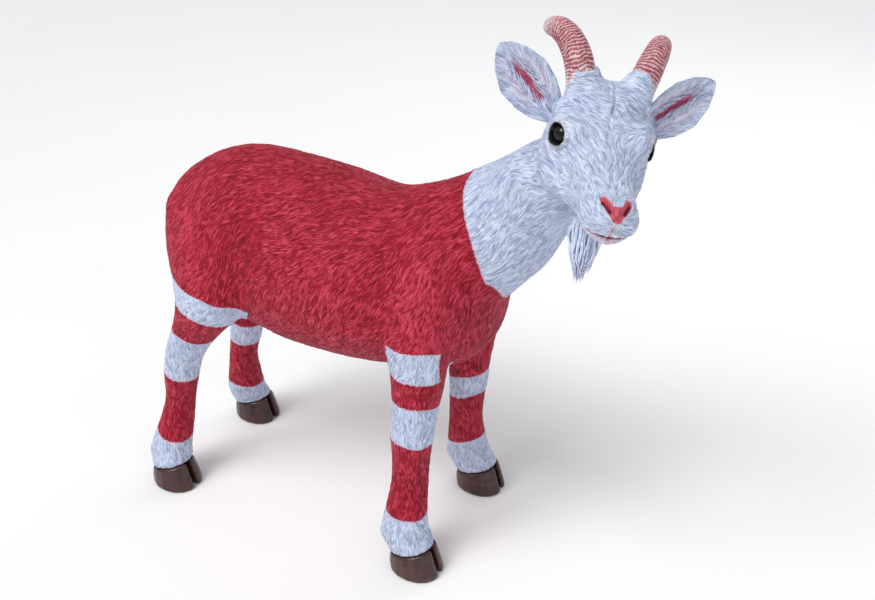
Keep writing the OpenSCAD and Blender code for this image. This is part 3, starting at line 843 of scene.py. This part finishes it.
skin_p, skin_q, skin_n = points_of(skin), quads_of(skin), normals_of(skin)
skin_layers = {k: layer(skin, k) for k in ("fur", "paint", "comb")}
skin_layers["wash"] = np.tile(np.array([1, 1, 1, 0], np.float32), (len(skin_p), 1))
for plane, limit in (((np.zeros(3), np.array([0, 1.0, 0])), None), (COLLAR, None), (NAPE, None)):
    v = ahead(skin_p, plane)
    if plane[1][1] == 1.0:
        v = np.where(ahead(skin_p, COLLAR) > 3, 1.0, v)
    skin_p = snap(skin_p, skin_q, v, plane[1], 0.9)
low_leg = (np.abs(skin_p[:, 1]) > 42) & (np.abs(skin_p[:, 2] - joint_z) < 3)
skin_p = snap(skin_p, skin_q, np.where(low_leg, skin_p[:, 2] - joint_z, 1.0),
              np.array([0, 0, 1.0]), 0.9)
mid = skin_p[skin_q].mean(1)
after_collar = ahead(mid, COLLAR) > 0
after_nape = ahead(mid, NAPE) > 0
in_leg = {}
for leg, (end, side, _, _) in LEGS.items():
    x0 = 176 if end > 0 else -133
    in_leg[leg] = ((mid[:, 2] < joint_z) & (side * mid[:, 1] > 42)
                   & (np.abs(mid[:, 0] - x0 - (0 if end > 0 else -12)) < 75))
any_leg = np.any(list(in_leg.values()), axis=0)
pieces = {
    "coat_left": (("body_shell_left",), "coat_red",
                  ~any_leg & ~after_collar & (mid[:, 1] > 0)),
    "coat_right": (("body_shell_right",), "coat_red",
                   ~any_leg & ~after_collar & (mid[:, 1] <= 0)),
    "neck_fur": (("neck_shell",), "coat_white", after_collar & ~after_nape & ~any_leg),
}
for leg in LEGS:
    pieces["fur_leg_" + leg] = (("leg_" + leg,), "coat_red", in_leg[leg])
for name, (nodes, slot, keep) in pieces.items():
    piece = part_of(name, skin_p, skin_q, keep, skin_n, skin_layers)
    finish_piece(piece, nodes, COAT)
bpy.data.objects.remove(skin)

# ---------- head ----------

FINE = 1.7
eyes = {side: to_head(np.mean([np.array(c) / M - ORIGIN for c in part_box("eye_" + word)], 0))
        for side, word in ((1, "left"), (-1, "right"))}
head_values, head_first = resample(solid, first, VOXEL, (222, -150, 418), (440, 62, 612), FINE)
q = to_head(grid_points(head_first, head_values.shape, FINE)).astype(np.float32)
qx, qy, qz = q[..., 0], q[..., 1], q[..., 2]
d = blur(head_values, 3.2 / FINE)
soft = blur(head_values, 5.5 / FINE) - 1.0
w = np.clip(step(-10, -45, qx) + step(-38, -60, qz), 0, 1)
d = (d * (1 - w) + soft * w).astype(np.float32)
del soft, head_values

# Lines on the nose, as way down its slope and distance from its middle.
WING, NOSTRIL = ((-6.0, 11.0), (10.0, 1.5)), ((-2.5, 12.0), (5.5, 7.0))


def line_on_nose(q, side, line):
    """Distance from a line on the nose, seen straight onto its slope."""
    down = (q[..., 0] - 118) * 0.65 - (q[..., 2] + 1) * 0.76
    a, b = np.array(line[0]), np.array(line[1])
    p = np.stack([down, q[..., 1] * side], -1) - a
    t = np.clip(p @ (b - a) / ((b - a) @ (b - a)), 0, 1)
    return np.sqrt(((p - t[..., None] * (b - a)) ** 2).sum(-1))


for side in (-1, 1):
    e = eyes[side]
    d = join(d, capsule(q, (42, side * 29, 27), (2, side * 40, 33), 8.0), 12)
    d = join(d, ball(q, e, (16.0, 15.2, 15.2)), 7)
    d = join(d, ball(q, (14, side * 31, -14), (34, 15.5, 26)), 16)
    d = join(d, ball(q, (106, side * 11, -17), (19, 13, 12)), 8)
    d = carve(d, ball(q, (66, side * 43, 0), (26, 13, 13)), 18)
    out = unit((0.58, side * 0.80, 0.10))
    fore = unit(np.array([1, 0, 0]) - out * out[0])
    fore = unit(fore - 0.16 * np.cross(out, fore) * side)
    rise = np.cross(out, fore) * side
    u, v, k = (q - e) @ fore, (q - e) @ rise, (q - e) @ out
    v = v + 0.020 * u * u * 0.4
    lids = np.sqrt((u / 10.4) ** 2 + (v / 8.8) ** 2)
    d = d - 1.4 * np.exp(-((lids - 1.22) / 0.16) ** 2) * (k > 0)
    d = d + 1.1 * np.exp(-((lids - 1.62) / 0.10) ** 2) * (k > 0) * step(-2, 5, v)
    opening = np.maximum((lids - 1) * 9.0, 2.0 - k)
    d = carve(d, opening, 1.6)
    d = join(d, capsule(q, (6, side * 22, 52), (-4, side * 26, 66), 14.5), 9)
d = join(d, ball(q, (2, 0, 53), (20, 24, 12)), 10)
d = join(d, ball(q, (113, 0, -6.5), (14, 17.5, 10)), 5)
d = join(d, ball(q, (108, 0, -31), (16, 13, 6)), 5)
lip = -24.5 - (qx - 112) * 0.10 - 2.0 * step(10, 0, np.abs(qy))
mouth = np.maximum(np.maximum(np.abs(qz - lip) - 0.8, -d - 2.8), 84 - qx)
d = carve(d, mouth, 1.6)
cleft = np.maximum(np.maximum(np.abs(qy) - 0.7, -d - 2.2),
                   np.maximum(np.maximum(qz + 9, lip - qz - 1), 110 - qx))
d = carve(d, cleft, 1.4)
for side in (-1, 1):
    d = carve(d, np.maximum(np.maximum(line_on_nose(q, side, NOSTRIL) - 1.5, -d - 2.6), 104 - qx),
              1.4)
    d = d - 0.9 * np.exp(-((line_on_nose(q, side, WING) - 4.2) / 1.3) ** 2) * step(103, 107, qx)
seam = qy - 1.3 * np.sin(qx / 8) - 0.8 * np.sin(qx / 3.1)
d = d + 1.9 * np.exp(-(seam / 1.5) ** 2) * step(2, 12, qx) * step(82, 66, qx) * (qz > 8)
head_points, head_quads = surface(d.astype(np.float32), head_first, FINE)
del d, q, qx, qy, qz, mouth, cleft, seam, lip

head = make_quads("head", head_points, outward(head_points, head_quads))
refine(head)


def bare(p):
    """1 where the face has skin instead of hair: nose, lips and the rims of the eyes."""
    q = to_head(p)
    out = near(q, (120, 0, -4), (13, 15, 9))
    for side in (-1, 1):
        out = out + near(q, eyes[side] + np.array([3, side * 11, 3]), (15, 9, 12)) * 0.8
        out = out + near(q, (70, side * 26, 6), (22, 12, 12)) * 0.35
    out = out + 0.35 * near(q, (84, 0, -2), (34, 26, 22))
    return np.clip(out, 0, 1)


def face_wash(p):
    """Skin colours brushed over the white: RGB and strength at each point."""
    q = to_head(p)
    x, y, z = q.T
    rough = noise(p, 3.0, 4.4)
    out = np.zeros((len(p), 4), np.float32)
    out[:, :3] = 1

    def brush(colour, strength):
        s = np.clip(strength, 0, 1)[:, None]
        out[:, :3] = out[:, :3] * (1 - s) + np.array(colour, np.float32) * s
        out[:, 3] = np.maximum(out[:, 3], s[:, 0])

    lip = -24.5 - (x - 112) * 0.10 - 2.0 * step(10, 0, np.abs(y))
    brush((0.80, 0.64, 0.52), 0.30 * near(q, (88, 20, -16), (24, 16, 15)))
    brush((0.86, 0.52, 0.55), 0.55 * step(5.0, 1.0, np.abs(z - lip) + rough) * step(84, 96, x))
    brush((0.85, 0.50, 0.54), 0.75 * near(q, (118, 0, -33), (16, 12, 6)))
    brush((0.80, 0.42, 0.46), 0.85 * step(2.6, 0.8, np.abs(y)) * step(-8, -12, z) * step(112, 118, x))
    brush((0.50, 0.05, 0.06), step(1.5, 0.5, np.abs(z - lip)) * step(86, 92, x))
    for side in (-1, 1):
        arm = line_on_nose(q, side, WING) + 0.5 * rough
        front = step(103, 106, x) * step(-18, -15, z)
        arm = np.minimum(arm, line_on_nose(q, side, ((3.0, 2.0), (10.0, 0.0))))
        brush((0.60, 0.115, 0.165), step(4.8, 3.2, arm) * front)
        brush((0.52, 0.045, 0.08), 0.7 * step(2.8, 0.6, arm) * front)
        brush((0.22, 0.008, 0.02), 0.9 * step(2.6, 1.3, line_on_nose(q, side, NOSTRIL)) * front)
        e = eyes[side]
        rel = q - e
        facing = rel @ unit((0.58, side * 0.80, 0.10))
        around = np.sqrt(np.maximum((rel * rel).sum(1) - facing ** 2, 0)) / 10.4
        outer = facing > 0
        brush((0.26, 0.26, 0.31), 0.55 * outer * step(1.65, 1.10, around + 0.10 * rough))
        brush((0.014, 0.012, 0.014), outer * step(1.14, 0.98, around + 0.04 * rough))
        brush((0.74, 0.36, 0.48), 0.60 * near(q, e + (12, -side * 3, 12), (6, 8, 4)))
    return out


def segment(p, a, b):
    a, b = np.asarray(a, float), np.asarray(b, float)
    t = np.clip(((p - a) @ (b - a)) / ((b - a) @ (b - a)), 0, 1)
    return a + t[:, None] * (b - a)


wash = face_wash(points_of(head))
groom(head, 1.0, bare)
head_p, head_q, head_n = points_of(head), quads_of(head), normals_of(head)
head_p = snap(head_p, head_q, ahead(head_p, NAPE), NAPE[1], 0.7)
keep = ahead(head_p[head_q].mean(1), NAPE) > 0
layers = {"fur": layer(head, "fur"), "paint": np.full(len(head_p), -30.0), "wash": wash,
          "comb": layer(head, "comb")}
finish_piece(part_of("head_fur", head_p, head_q, keep, head_n, layers),
             ("head_shell",), COAT)
bpy.data.objects.remove(head)

# ---------- grids: a piece from rows of points ----------


def tube_faces(rows, count, base=0):
    """Quads of a tube of rings, with both ends closed."""
    i, k = np.meshgrid(np.arange(rows - 1), np.arange(count), indexing="ij")
    a = base + i * count + k
    b = base + i * count + (k + 1) % count
    quads = np.stack([a, b, b + count, a + count], -1).reshape(-1, 4)
    ends = [list(range(base + count - 1, base - 1, -1)),
            list(range(base + (rows - 1) * count, base + rows * count))]
    return quads.tolist() + ends


def add_layers(piece, fur, paint_, wash=None, comb=None):
    n = len(piece.data.vertices)
    store(piece, "comb", np.tile([0, 0, -1], (n, 1)) if comb is None else comb)
    store(piece, "fur", np.broadcast_to(fur, n))
    store(piece, "paint", np.broadcast_to(paint_, n))
    store(piece, "wash", np.tile([1, 1, 1, 0], (n, 1)) if wash is None else wash)


def face_out(piece):
    bm = bmesh.new()
    bm.from_mesh(piece.data)
    bmesh.ops.recalc_face_normals(bm, faces=list(bm.faces))
    bm.to_mesh(piece.data)
    bm.free()


# ---------- ears ----------

EAR_LEN, EAR_W, EAR_T = 86.0, 54.0, 5.0
EAR_WIDTHS = ((0.0, 0.03, 0.15, 0.34, 0.58, 0.80, 0.94, 0.985, 1.0),
              (0.17, 0.20, 0.34, 0.46, 0.50, 0.37, 0.19, 0.09, 0.02))
EAR_CUPS = ((0.0, 0.15, 0.34, 0.58, 0.80, 1.0), (150, 128, 118, 100, 80, 50))


def smooth_table(x, table):
    xs = np.linspace(0, 1, 400)
    ys = np.interp(xs, *table)
    k = np.exp(-0.5 * (np.arange(-24, 25) / 9.0) ** 2)
    pad = np.pad(ys, 24, mode="reflect", reflect_type="odd")
    return np.interp(x, xs, np.convolve(pad, k / k.sum(), "valid"))


def ear_frame(side):
    way = unit((-0.24, side * 0.74, 0.63))
    place = np.array([-0.072 * HEAD_LEN, side * 0.38 * HEAD_W, 0.165 * HEAD_W])
    base = place + way * 5.0
    back = np.array([-0.93, -side * 0.30, -0.20])
    x = unit(np.cross(back, way))
    y = np.cross(way, x)
    return base, x, y, way


def ear(side, word):
    base, ax, ay, az = ear_frame(side)
    rows, half = ((120, 60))
    s = np.linspace(-0.06, 1, rows)
    sc = np.clip(s, 0, 1)
    points, inner, across, rel = [], [], [], []
    for j in range(rows):
        wide = max(float(smooth_table(sc[j], EAR_WIDTHS)), 0.02) * EAR_W
        cup = math.radians(float(np.interp(sc[j], *EAR_CUPS)))
        r = wide / math.sin(cup / 2)
        t = EAR_T * (0.55 + 0.45 * (1 - sc[j]))
        t = min(t, wide * 0.7)
        drop = r - EAR_T / 2
        v = np.linspace(-0.5, 0.5, half)
        rim = np.sqrt(np.clip(1 - (2 * v) ** 2, 0, 1)) ** 0.55
        for sign in (1, -1):
            vv = v if sign > 0 else v[::-1]
            rr = rim if sign > 0 else rim[::-1]
            mid_r = r - EAR_T / 2
            rad = mid_r + sign * t / 2 * rr
            a = cup * vv
            bow = -5.0 * sc[j] ** 2 + 2.0 * math.sin(sc[j] * math.pi)
            points.append(np.stack([rad * np.sin(a), rad * np.cos(a) - drop + bow,
                                    np.full(half, s[j] * EAR_LEN)], 1))
            inner.append(np.full(half, sign < 0))
            across.append(vv)
            rel.append(np.full(half, s[j]))
    local = np.concatenate(points)
    p = from_head(base + local[:, :1] * ax + local[:, 1:2] * ay + local[:, 2:] * az)
    piece = make("ear_" + word + "_fur", p, tube_faces(rows, 2 * half))
    face_out(piece)
    inner, across, rel = map(np.concatenate, (inner, across, rel))
    p, n = points_of(piece), normals_of(piece)
    tip = HEAD @ az
    side_way = HEAD @ ax
    way = unit(tip + side_way * (across * 1.6)[:, None])
    way = unit(way - n * (way * n).sum(1)[:, None])
    h = 0.6 * np.tanh(strands(p, way, 2.2, 7.0, 6.1)) + 0.4 * np.tanh(strands(p, way, 4.2, 9.0, 2.1))
    slit = inner * step(0.20, 0.30, rel) * step(0.80, 0.62, rel)
    slit = slit * step(0.15, 0.05, np.abs(across - 0.01) + 0.03 * noise(p, 3.0, 1.0))
    depth = 0.42 * (1 - 0.4 * slit) * step(0.0, 0.05, 0.52 - np.abs(across))
    set_points(piece, p + n * (h * depth - 1.6 * slit)[:, None])
    wash = np.ones((len(p), 4), np.float32)
    wash[:, :3] = (0.50, 0.07, 0.15)
    wash[:, 3] = np.clip(slit * 1.15 - 0.25 * (h > 0.5), 0, 1)
    dusk = inner * step(0.10, 0.35, rel) * step(1.0, 0.6, rel) * step(0.42, 0.25, np.abs(across))
    blend = (wash[:, 3] < 0.02)
    wash[blend, :3] = (0.88, 0.66, 0.74)
    wash[blend, 3] = 0.35 * dusk[blend]
    # The relief h, stored as fur, makes the ear darker in its hollows and lighter on its strand tops:
    # painted shade and painted highlight.
    add_layers(piece, np.clip(0.5 + 0.4 * h, 0, 1), -30.0, wash, way)
    tufts = ear_tufts(side, word, (base, ax, ay, az))
    merge(piece, tufts)
    finish_piece(piece, ("ear_" + word,), COAT)


def lock(path, radius, flat, sides=6):
    """One tapering lock of hair along a path: its points and faces."""
    path = np.asarray(path, float)
    along = unit(np.gradient(path, axis=0))
    ref = np.array([0.31, 0.52, 0.79])
    a = unit(np.cross(along, ref))
    b = np.cross(along, a)
    t = np.linspace(0, 1, len(path))
    r = radius * np.clip(np.minimum(1.0, t * 5 + 0.35), 0, 1) * np.sqrt(np.clip(1.02 - t, 0, 1))
    ang = np.arange(sides) * 2 * math.pi / sides
    rings = path[:, None] + r[:, None, None] * (
        a[:, None] * np.cos(ang)[None, :, None] + b[:, None] * flat * np.sin(ang)[None, :, None])
    return rings.reshape(-1, 3), len(path), sides


def locks_piece(name, locks, fur_values):
    points, faces, fur, base = [], [], [], 0
    for (p, rows, sides), f in zip(locks, fur_values):
        points.append(p)
        faces += tube_faces(rows, sides, base)
        # Each lock is darker towards its root and lighter towards its tip: painted shade; the random
        # share per lock is a tone that varies from lock to lock.
        fur.append(np.full(len(p), f) * np.repeat(np.linspace(0.8, 1.1, rows), sides))
        base += len(p)
    piece = make(name, np.concatenate(points), faces)
    face_out(piece)
    add_layers(piece, np.clip(np.concatenate(fur), 0, 1), -30.0)
    return piece


def ear_tufts(side, word, axes):
    base, ax, ay, az = axes
    rng = np.random.default_rng(31 + side)
    locks = []
    for i in range(64):
        s = 0.16 + 0.50 * i / 63 + rng.uniform(-0.03, 0.03)
        from_side = 1 if i % 2 else -1
        wide = float(smooth_table(s, EAR_WIDTHS)) * EAR_W
        cup = math.radians(float(np.interp(s, *EAR_CUPS)))
        r = wide / math.sin(cup / 2) - EAR_T * 0.85
        drop = wide / math.sin(cup / 2) - EAR_T / 2
        start = from_side * rng.uniform(0.10, 0.24)
        end = from_side * rng.uniform(0.02, 0.12)
        reach = rng.uniform(0.12, 0.24)
        path = []
        for t in np.linspace(0, 1, 7):
            a = cup * (start + (end - start) * t)
            lift = 0.9 * math.sin(t * math.pi) + 0.2
            ss = s + reach * t
            bow = -5.0 * ss ** 2 + 2.0 * math.sin(ss * math.pi)
            path.append(base + ax * ((r - lift) * math.sin(a))
                        + ay * ((r - lift) * math.cos(a) - drop + bow) + az * (ss * EAR_LEN))
        locks.append(lock(from_head(np.array(path)), rng.uniform(0.5, 0.95), 0.7, 5))
    return locks_piece("tufts_" + word, locks, rng.uniform(0.9, 1.2, len(locks)))


def merge(piece, other):
    """Makes one piece of two."""
    with bpy.context.temp_override(active_object=piece, selected_editable_objects=[piece, other]):
        bpy.ops.object.join()


ear(1, "left")
ear(-1, "right")

# ---------- horns ----------

HORN_LEN, HORN_R, CURL = 92.0, 14.5, math.radians(106)
HORN_TAPER = ((0.0, 0.25, 0.50, 0.72, 0.88, 0.97, 1.0),
              (1.02, 0.95, 0.86, 0.74, 0.60, 0.42, 0.10))


def horn(side, word):
    way = unit((-0.25, side * 0.22, 0.94))
    bend = np.array([-0.93, side * 0.34, -0.12])
    bend = unit(bend - way * (bend @ way))
    across = np.cross(way, bend)
    place = np.array([0.015 * HEAD_LEN, side * 0.235 * HEAD_W, 0.40 * HEAD_W])
    base = place + way * 20.0
    r = HORN_LEN / CURL
    rows, sides = ((230, 84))
    s = np.linspace(-0.05, 1, rows)
    ang = np.arange(sides) * 2 * math.pi / sides
    a = CURL * s
    path = base + way * (r * np.sin(a))[:, None] + bend * (r * (1 - np.cos(a)))[:, None]
    u = way * np.sin(a)[:, None] - bend * np.cos(a)[:, None]
    q = smooth_table(np.clip(s, 0, 1), HORN_TAPER) * HORN_R
    q = np.minimum(q, HORN_R * np.sqrt(np.clip((1.0 - s) / 0.10, 0.0, 4.0)) + 0.05)
    S, A = np.meshgrid(s, ang, indexing="ij")
    ring = np.stack([np.cos(A), np.sin(A), S * 5], -1).reshape(-1, 3) * 3.0
    wave = noise(ring, 1.7, 3.0 + side).reshape(S.shape)
    wave2 = noise(ring * (1, 1, 3.0), 1.1, 8.0 + side).reshape(S.shape)
    phase = S * 29 + 0.75 * wave + 0.22 * np.cos(A) * 1.2 + 0.25 * wave2
    tooth = phase - np.floor(phase)
    ridge = np.where(tooth < 0.62, tooth / 0.62, (1 - tooth) / 0.38)
    ridge = ridge ** 0.8
    fibre = noise(np.stack([np.cos(A) * 9, np.sin(A) * 9, S * 16], -1).reshape(-1, 3), 0.42, 2.2)
    fibre = fibre.reshape(S.shape)
    high = (0.95 * (ridge - 0.5) + 0.30 * fibre) * step(1.0, 0.9, S) * step(-0.02, 0.08, S)
    rad = q[:, None] + high
    p = (path[:, None] + u[:, None] * (rad * np.cos(A))[..., None]
         - across * (rad * 0.94 * np.sin(A))[..., None]).reshape(-1, 3)
    piece = make("horn_" + word + "_ridged", from_head(p), tube_faces(rows, sides))
    face_out(piece)
    add_layers(piece, np.clip(0.15 + 0.75 * ridge + 0.25 * fibre, 0, 1).ravel(), S.ravel())
    finish_piece(piece, ("horn_" + word,), HORN)


horn(1, "left")
horn(-1, "right")

# ---------- beard ----------


def beard():
    rng = np.random.default_rng(5)
    place = np.array([0.33 * HEAD_LEN, 0, -0.37 * HEAD_W])
    down = unit((0.08, 0, -1))
    fore = np.array([1, 0, 0.08])
    base = place + down * 12.0
    size = 56.0
    locks = []
    for i in range(96):
        ang = 2.39996 * i
        rad = math.sqrt((i + 0.5) / 96)
        u, v = rad * math.cos(ang), rad * math.sin(ang)
        reach = size * (0.98 - 0.30 * rad ** 2 - 0.16 * max(-u, 0) + rng.uniform(-0.08, 0.06))
        sway = rng.uniform(-1, 1, 2)
        path = []
        for t in np.linspace(0, 1, 15):
            swell = 9.0 + 8.5 * math.sin(min(t * 1.5, 1.0) * math.pi / 2) - 11.0 * t ** 2.6
            hook = 17.0 * t ** 2.4 - 2.0 * math.sin(t * math.pi)
            wave = 1.3 * math.sin(t * 9 + 4 * u + sway[0] * 2)
            path.append(base - down * 6 + down * (t * (reach + 6))
                        + fore * (u * swell + hook + wave)
                        + np.array([0, 1, 0]) * (v * swell + 1.0 * math.cos(t * 8 + sway[1] * 3)))
        locks.append(lock(from_head(np.array(path)), rng.uniform(2.2, 3.3), 0.75, 7))
    piece = locks_piece("beard_locks", locks, rng.uniform(0.7, 1.25, len(locks)))
    finish_piece(piece, ("beard",), COAT)


beard()

# ---------- eyes ----------


def eye(side, word):
    """A glossy ball with a slightly raised front and a dark iris."""
    e = eyes[side]
    out = unit((0.60, side * 0.78, 0.08))
    fore = unit(np.array([1, 0, 0]) - out * out[0])
    rise = np.cross(out, fore)
    rows, count = 40, 64
    lat = np.linspace(0.02, math.pi - 0.02, rows)
    lon = np.arange(count) * 2 * math.pi / count
    L, O = np.meshgrid(lat, lon, indexing="ij")
    r = 11.95 + 0.9 * np.exp(-(L / 0.62) ** 4)
    p = (e + out * (r * np.cos(L))[..., None] + fore * (r * np.sin(L) * np.cos(O))[..., None]
         + rise * (r * np.sin(L) * np.sin(O))[..., None]).reshape(-1, 3)
    piece = make("eye_" + word + "_glass", from_head(p), tube_faces(rows, count))
    face_out(piece)
    across = np.abs(np.sin(L) * np.cos(O)) / 0.42
    up = np.abs(np.sin(L) * np.sin(O)) / 0.16
    pupil = (across ** 4 + up ** 4) ** 0.25
    iris = np.clip(pupil - 0.5, 0, 1) * (L < 0.85)
    add_layers(piece, 0.5, iris.ravel())
    finish_piece(piece, ("eye_" + word,), EYE)


eye(1, "left")
eye(-1, "right")

# ---------- tail ----------

lo, hi = (np.array(c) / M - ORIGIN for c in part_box("tail"))
tail_values, tail_first = field(["tail", "tail_dowel"], lo - 8, hi + 8, 1.5, 8.0, 0.5)
tail_points, tail_quads = surface(blur(tail_values, 1.3), tail_first, 1.5)
tail = make_quads("tail_fur", tail_points, outward(tail_points, tail_quads))
refine(tail)
groom(tail, 1.4)
store(tail, "wash", np.tile([1, 1, 1, 0], (len(tail.data.vertices), 1)))
finish_piece(tail, ("tail",), COAT)

# ---------- hooves ----------


def hoof(leg):
    end, side, _, _ = LEGS[leg]
    x0, y0 = end * 183.0, side * 90.0
    voxel = 1.0
    v, f = field(["hoof_" + leg, "rod_" + leg], (x0 - 42, y0 - 36, -4), (x0 + 42, y0 + 36, 52),
                 voxel, 6.0, 0.4)
    g = grid_points(f, v.shape, voxel)
    x, y, z = g[..., 0] - x0, g[..., 1] - y0, g[..., 2]
    v = blur(v, 1.6 / voxel)
    wedge = np.abs(y) - (0.9 + 3.2 * step(6, 34, x) * (0.55 + 0.45 * step(0, 26, z)))
    wedge = np.maximum(wedge, 4 - x)
    v = carve(v, wedge, 4.5)
    v = v + 0.35 * np.cos(z / 1.15 + 0.12 * x) * 0.35
    v = np.maximum(v, -z + 0.02)
    p, q4 = surface(v.astype(np.float32), f, voxel)
    piece = make_quads("hoof_" + leg + "_claws", p, outward(p, q4))
    n = len(piece.data.vertices)
    add_layers(piece, 0.5, 0.0)
    finish_piece(piece, ("hoof_" + leg,), HOOF)


for leg in LEGS:
    hoof(leg)

# ---------- inner parts keep their CAD shape ----------

STEEL = plain_material("steel", (0.28, 0.28, 0.29), (0.46, 0.46, 0.47), 0.38, 1.0)
BRASS = plain_material("brass", (0.42, 0.27, 0.09), (0.62, 0.43, 0.17), 0.36, 1.0)
TAPE = plain_material("glass_tape", (0.42, 0.37, 0.26), (0.62, 0.57, 0.43), 0.62, 0.0, 900)
for name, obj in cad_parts.items():
    if obj.hide_render:
        continue
    material = BRASS if name.startswith("insert") else (
        TAPE if "tape" in name or "sleeve" in name else STEEL)
    obj.data.materials.clear()
    obj.data.materials.append(material)

# ---------- floor, light and camera ----------


def floor_material():
    s = Nodes("pale_floor")
    s.set(Base_Color=s.mix(s.noise(3, 2), (0.90, 0.90, 0.90), (0.93, 0.93, 0.93)),
          Roughness=0.9)
    return s.material


floor = make("floor", np.array([[-6000, -6000, -0.2], [6000, -6000, -0.2],
                                [6000, 6000, -0.2], [-6000, 6000, -0.2]], float), [[0, 1, 2, 3]])
floor.data.materials.append(floor_material())
floor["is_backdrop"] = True


def lamp(name, place, target, size, power, colour=(1, 1, 1)):
    data = bpy.data.lights.new(name, "AREA")
    data.shape = "DISK"
    data.size = size
    data.energy = power
    data.color = colour
    o = bpy.data.objects.new(name, data)
    bpy.context.scene.collection.objects.link(o)
    o.location = place
    o.rotation_euler = (Vector(target) - Vector(place)).to_track_quat("-Z", "Y").to_euler()


lamp("key", (-0.8, -1.7, 2.5), (0, 0, 0.32), 0.9, 18, (1, 0.99, 0.97))
lamp("fill", (2.3, -1.2, 1.2), (0, 0, 0.3), 1.8, 6, (0.93, 0.96, 1))
lamp("rim", (0.4, 2.2, 1.9), (0, 0, 0.3), 1.4, 8)
sun = bpy.data.objects.new("sun", bpy.data.lights.new("sun", "SUN"))
sun.data.energy = 1.55
sun.data.angle = 0.7
sun.rotation_euler = Vector((0.8, 1.7, -2.5)).to_track_quat("-Z", "Y").to_euler()
bpy.context.scene.collection.objects.link(sun)
world = bpy.data.worlds.new("studio")
world.use_nodes = True
back = world.node_tree.nodes["Background"]
back.inputs["Color"].default_value = (0.97, 0.98, 1.0, 1)
back.inputs["Strength"].default_value = 0.52
bpy.context.scene.world = world
bpy.context.scene.view_settings.view_transform = "Standard"

camera = bpy.data.objects.new("camera", bpy.data.cameras.new("camera"))
bpy.context.scene.collection.objects.link(camera)
bpy.context.scene.camera = camera
camera.data.sensor_width = 36
camera.data.lens = 41.14
camera.data.clip_end = 50
eye_at = (np.array([627.9, -894.9, 840.2]) + ORIGIN) * M
pitch = math.radians(27.5)
look = Vector((-0.4596 * math.cos(pitch), 0.888 * math.cos(pitch), -math.sin(pitch)))
camera.location = eye_at
camera.rotation_euler = look.to_track_quat("-Z", "Y").to_euler()

lo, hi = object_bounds()
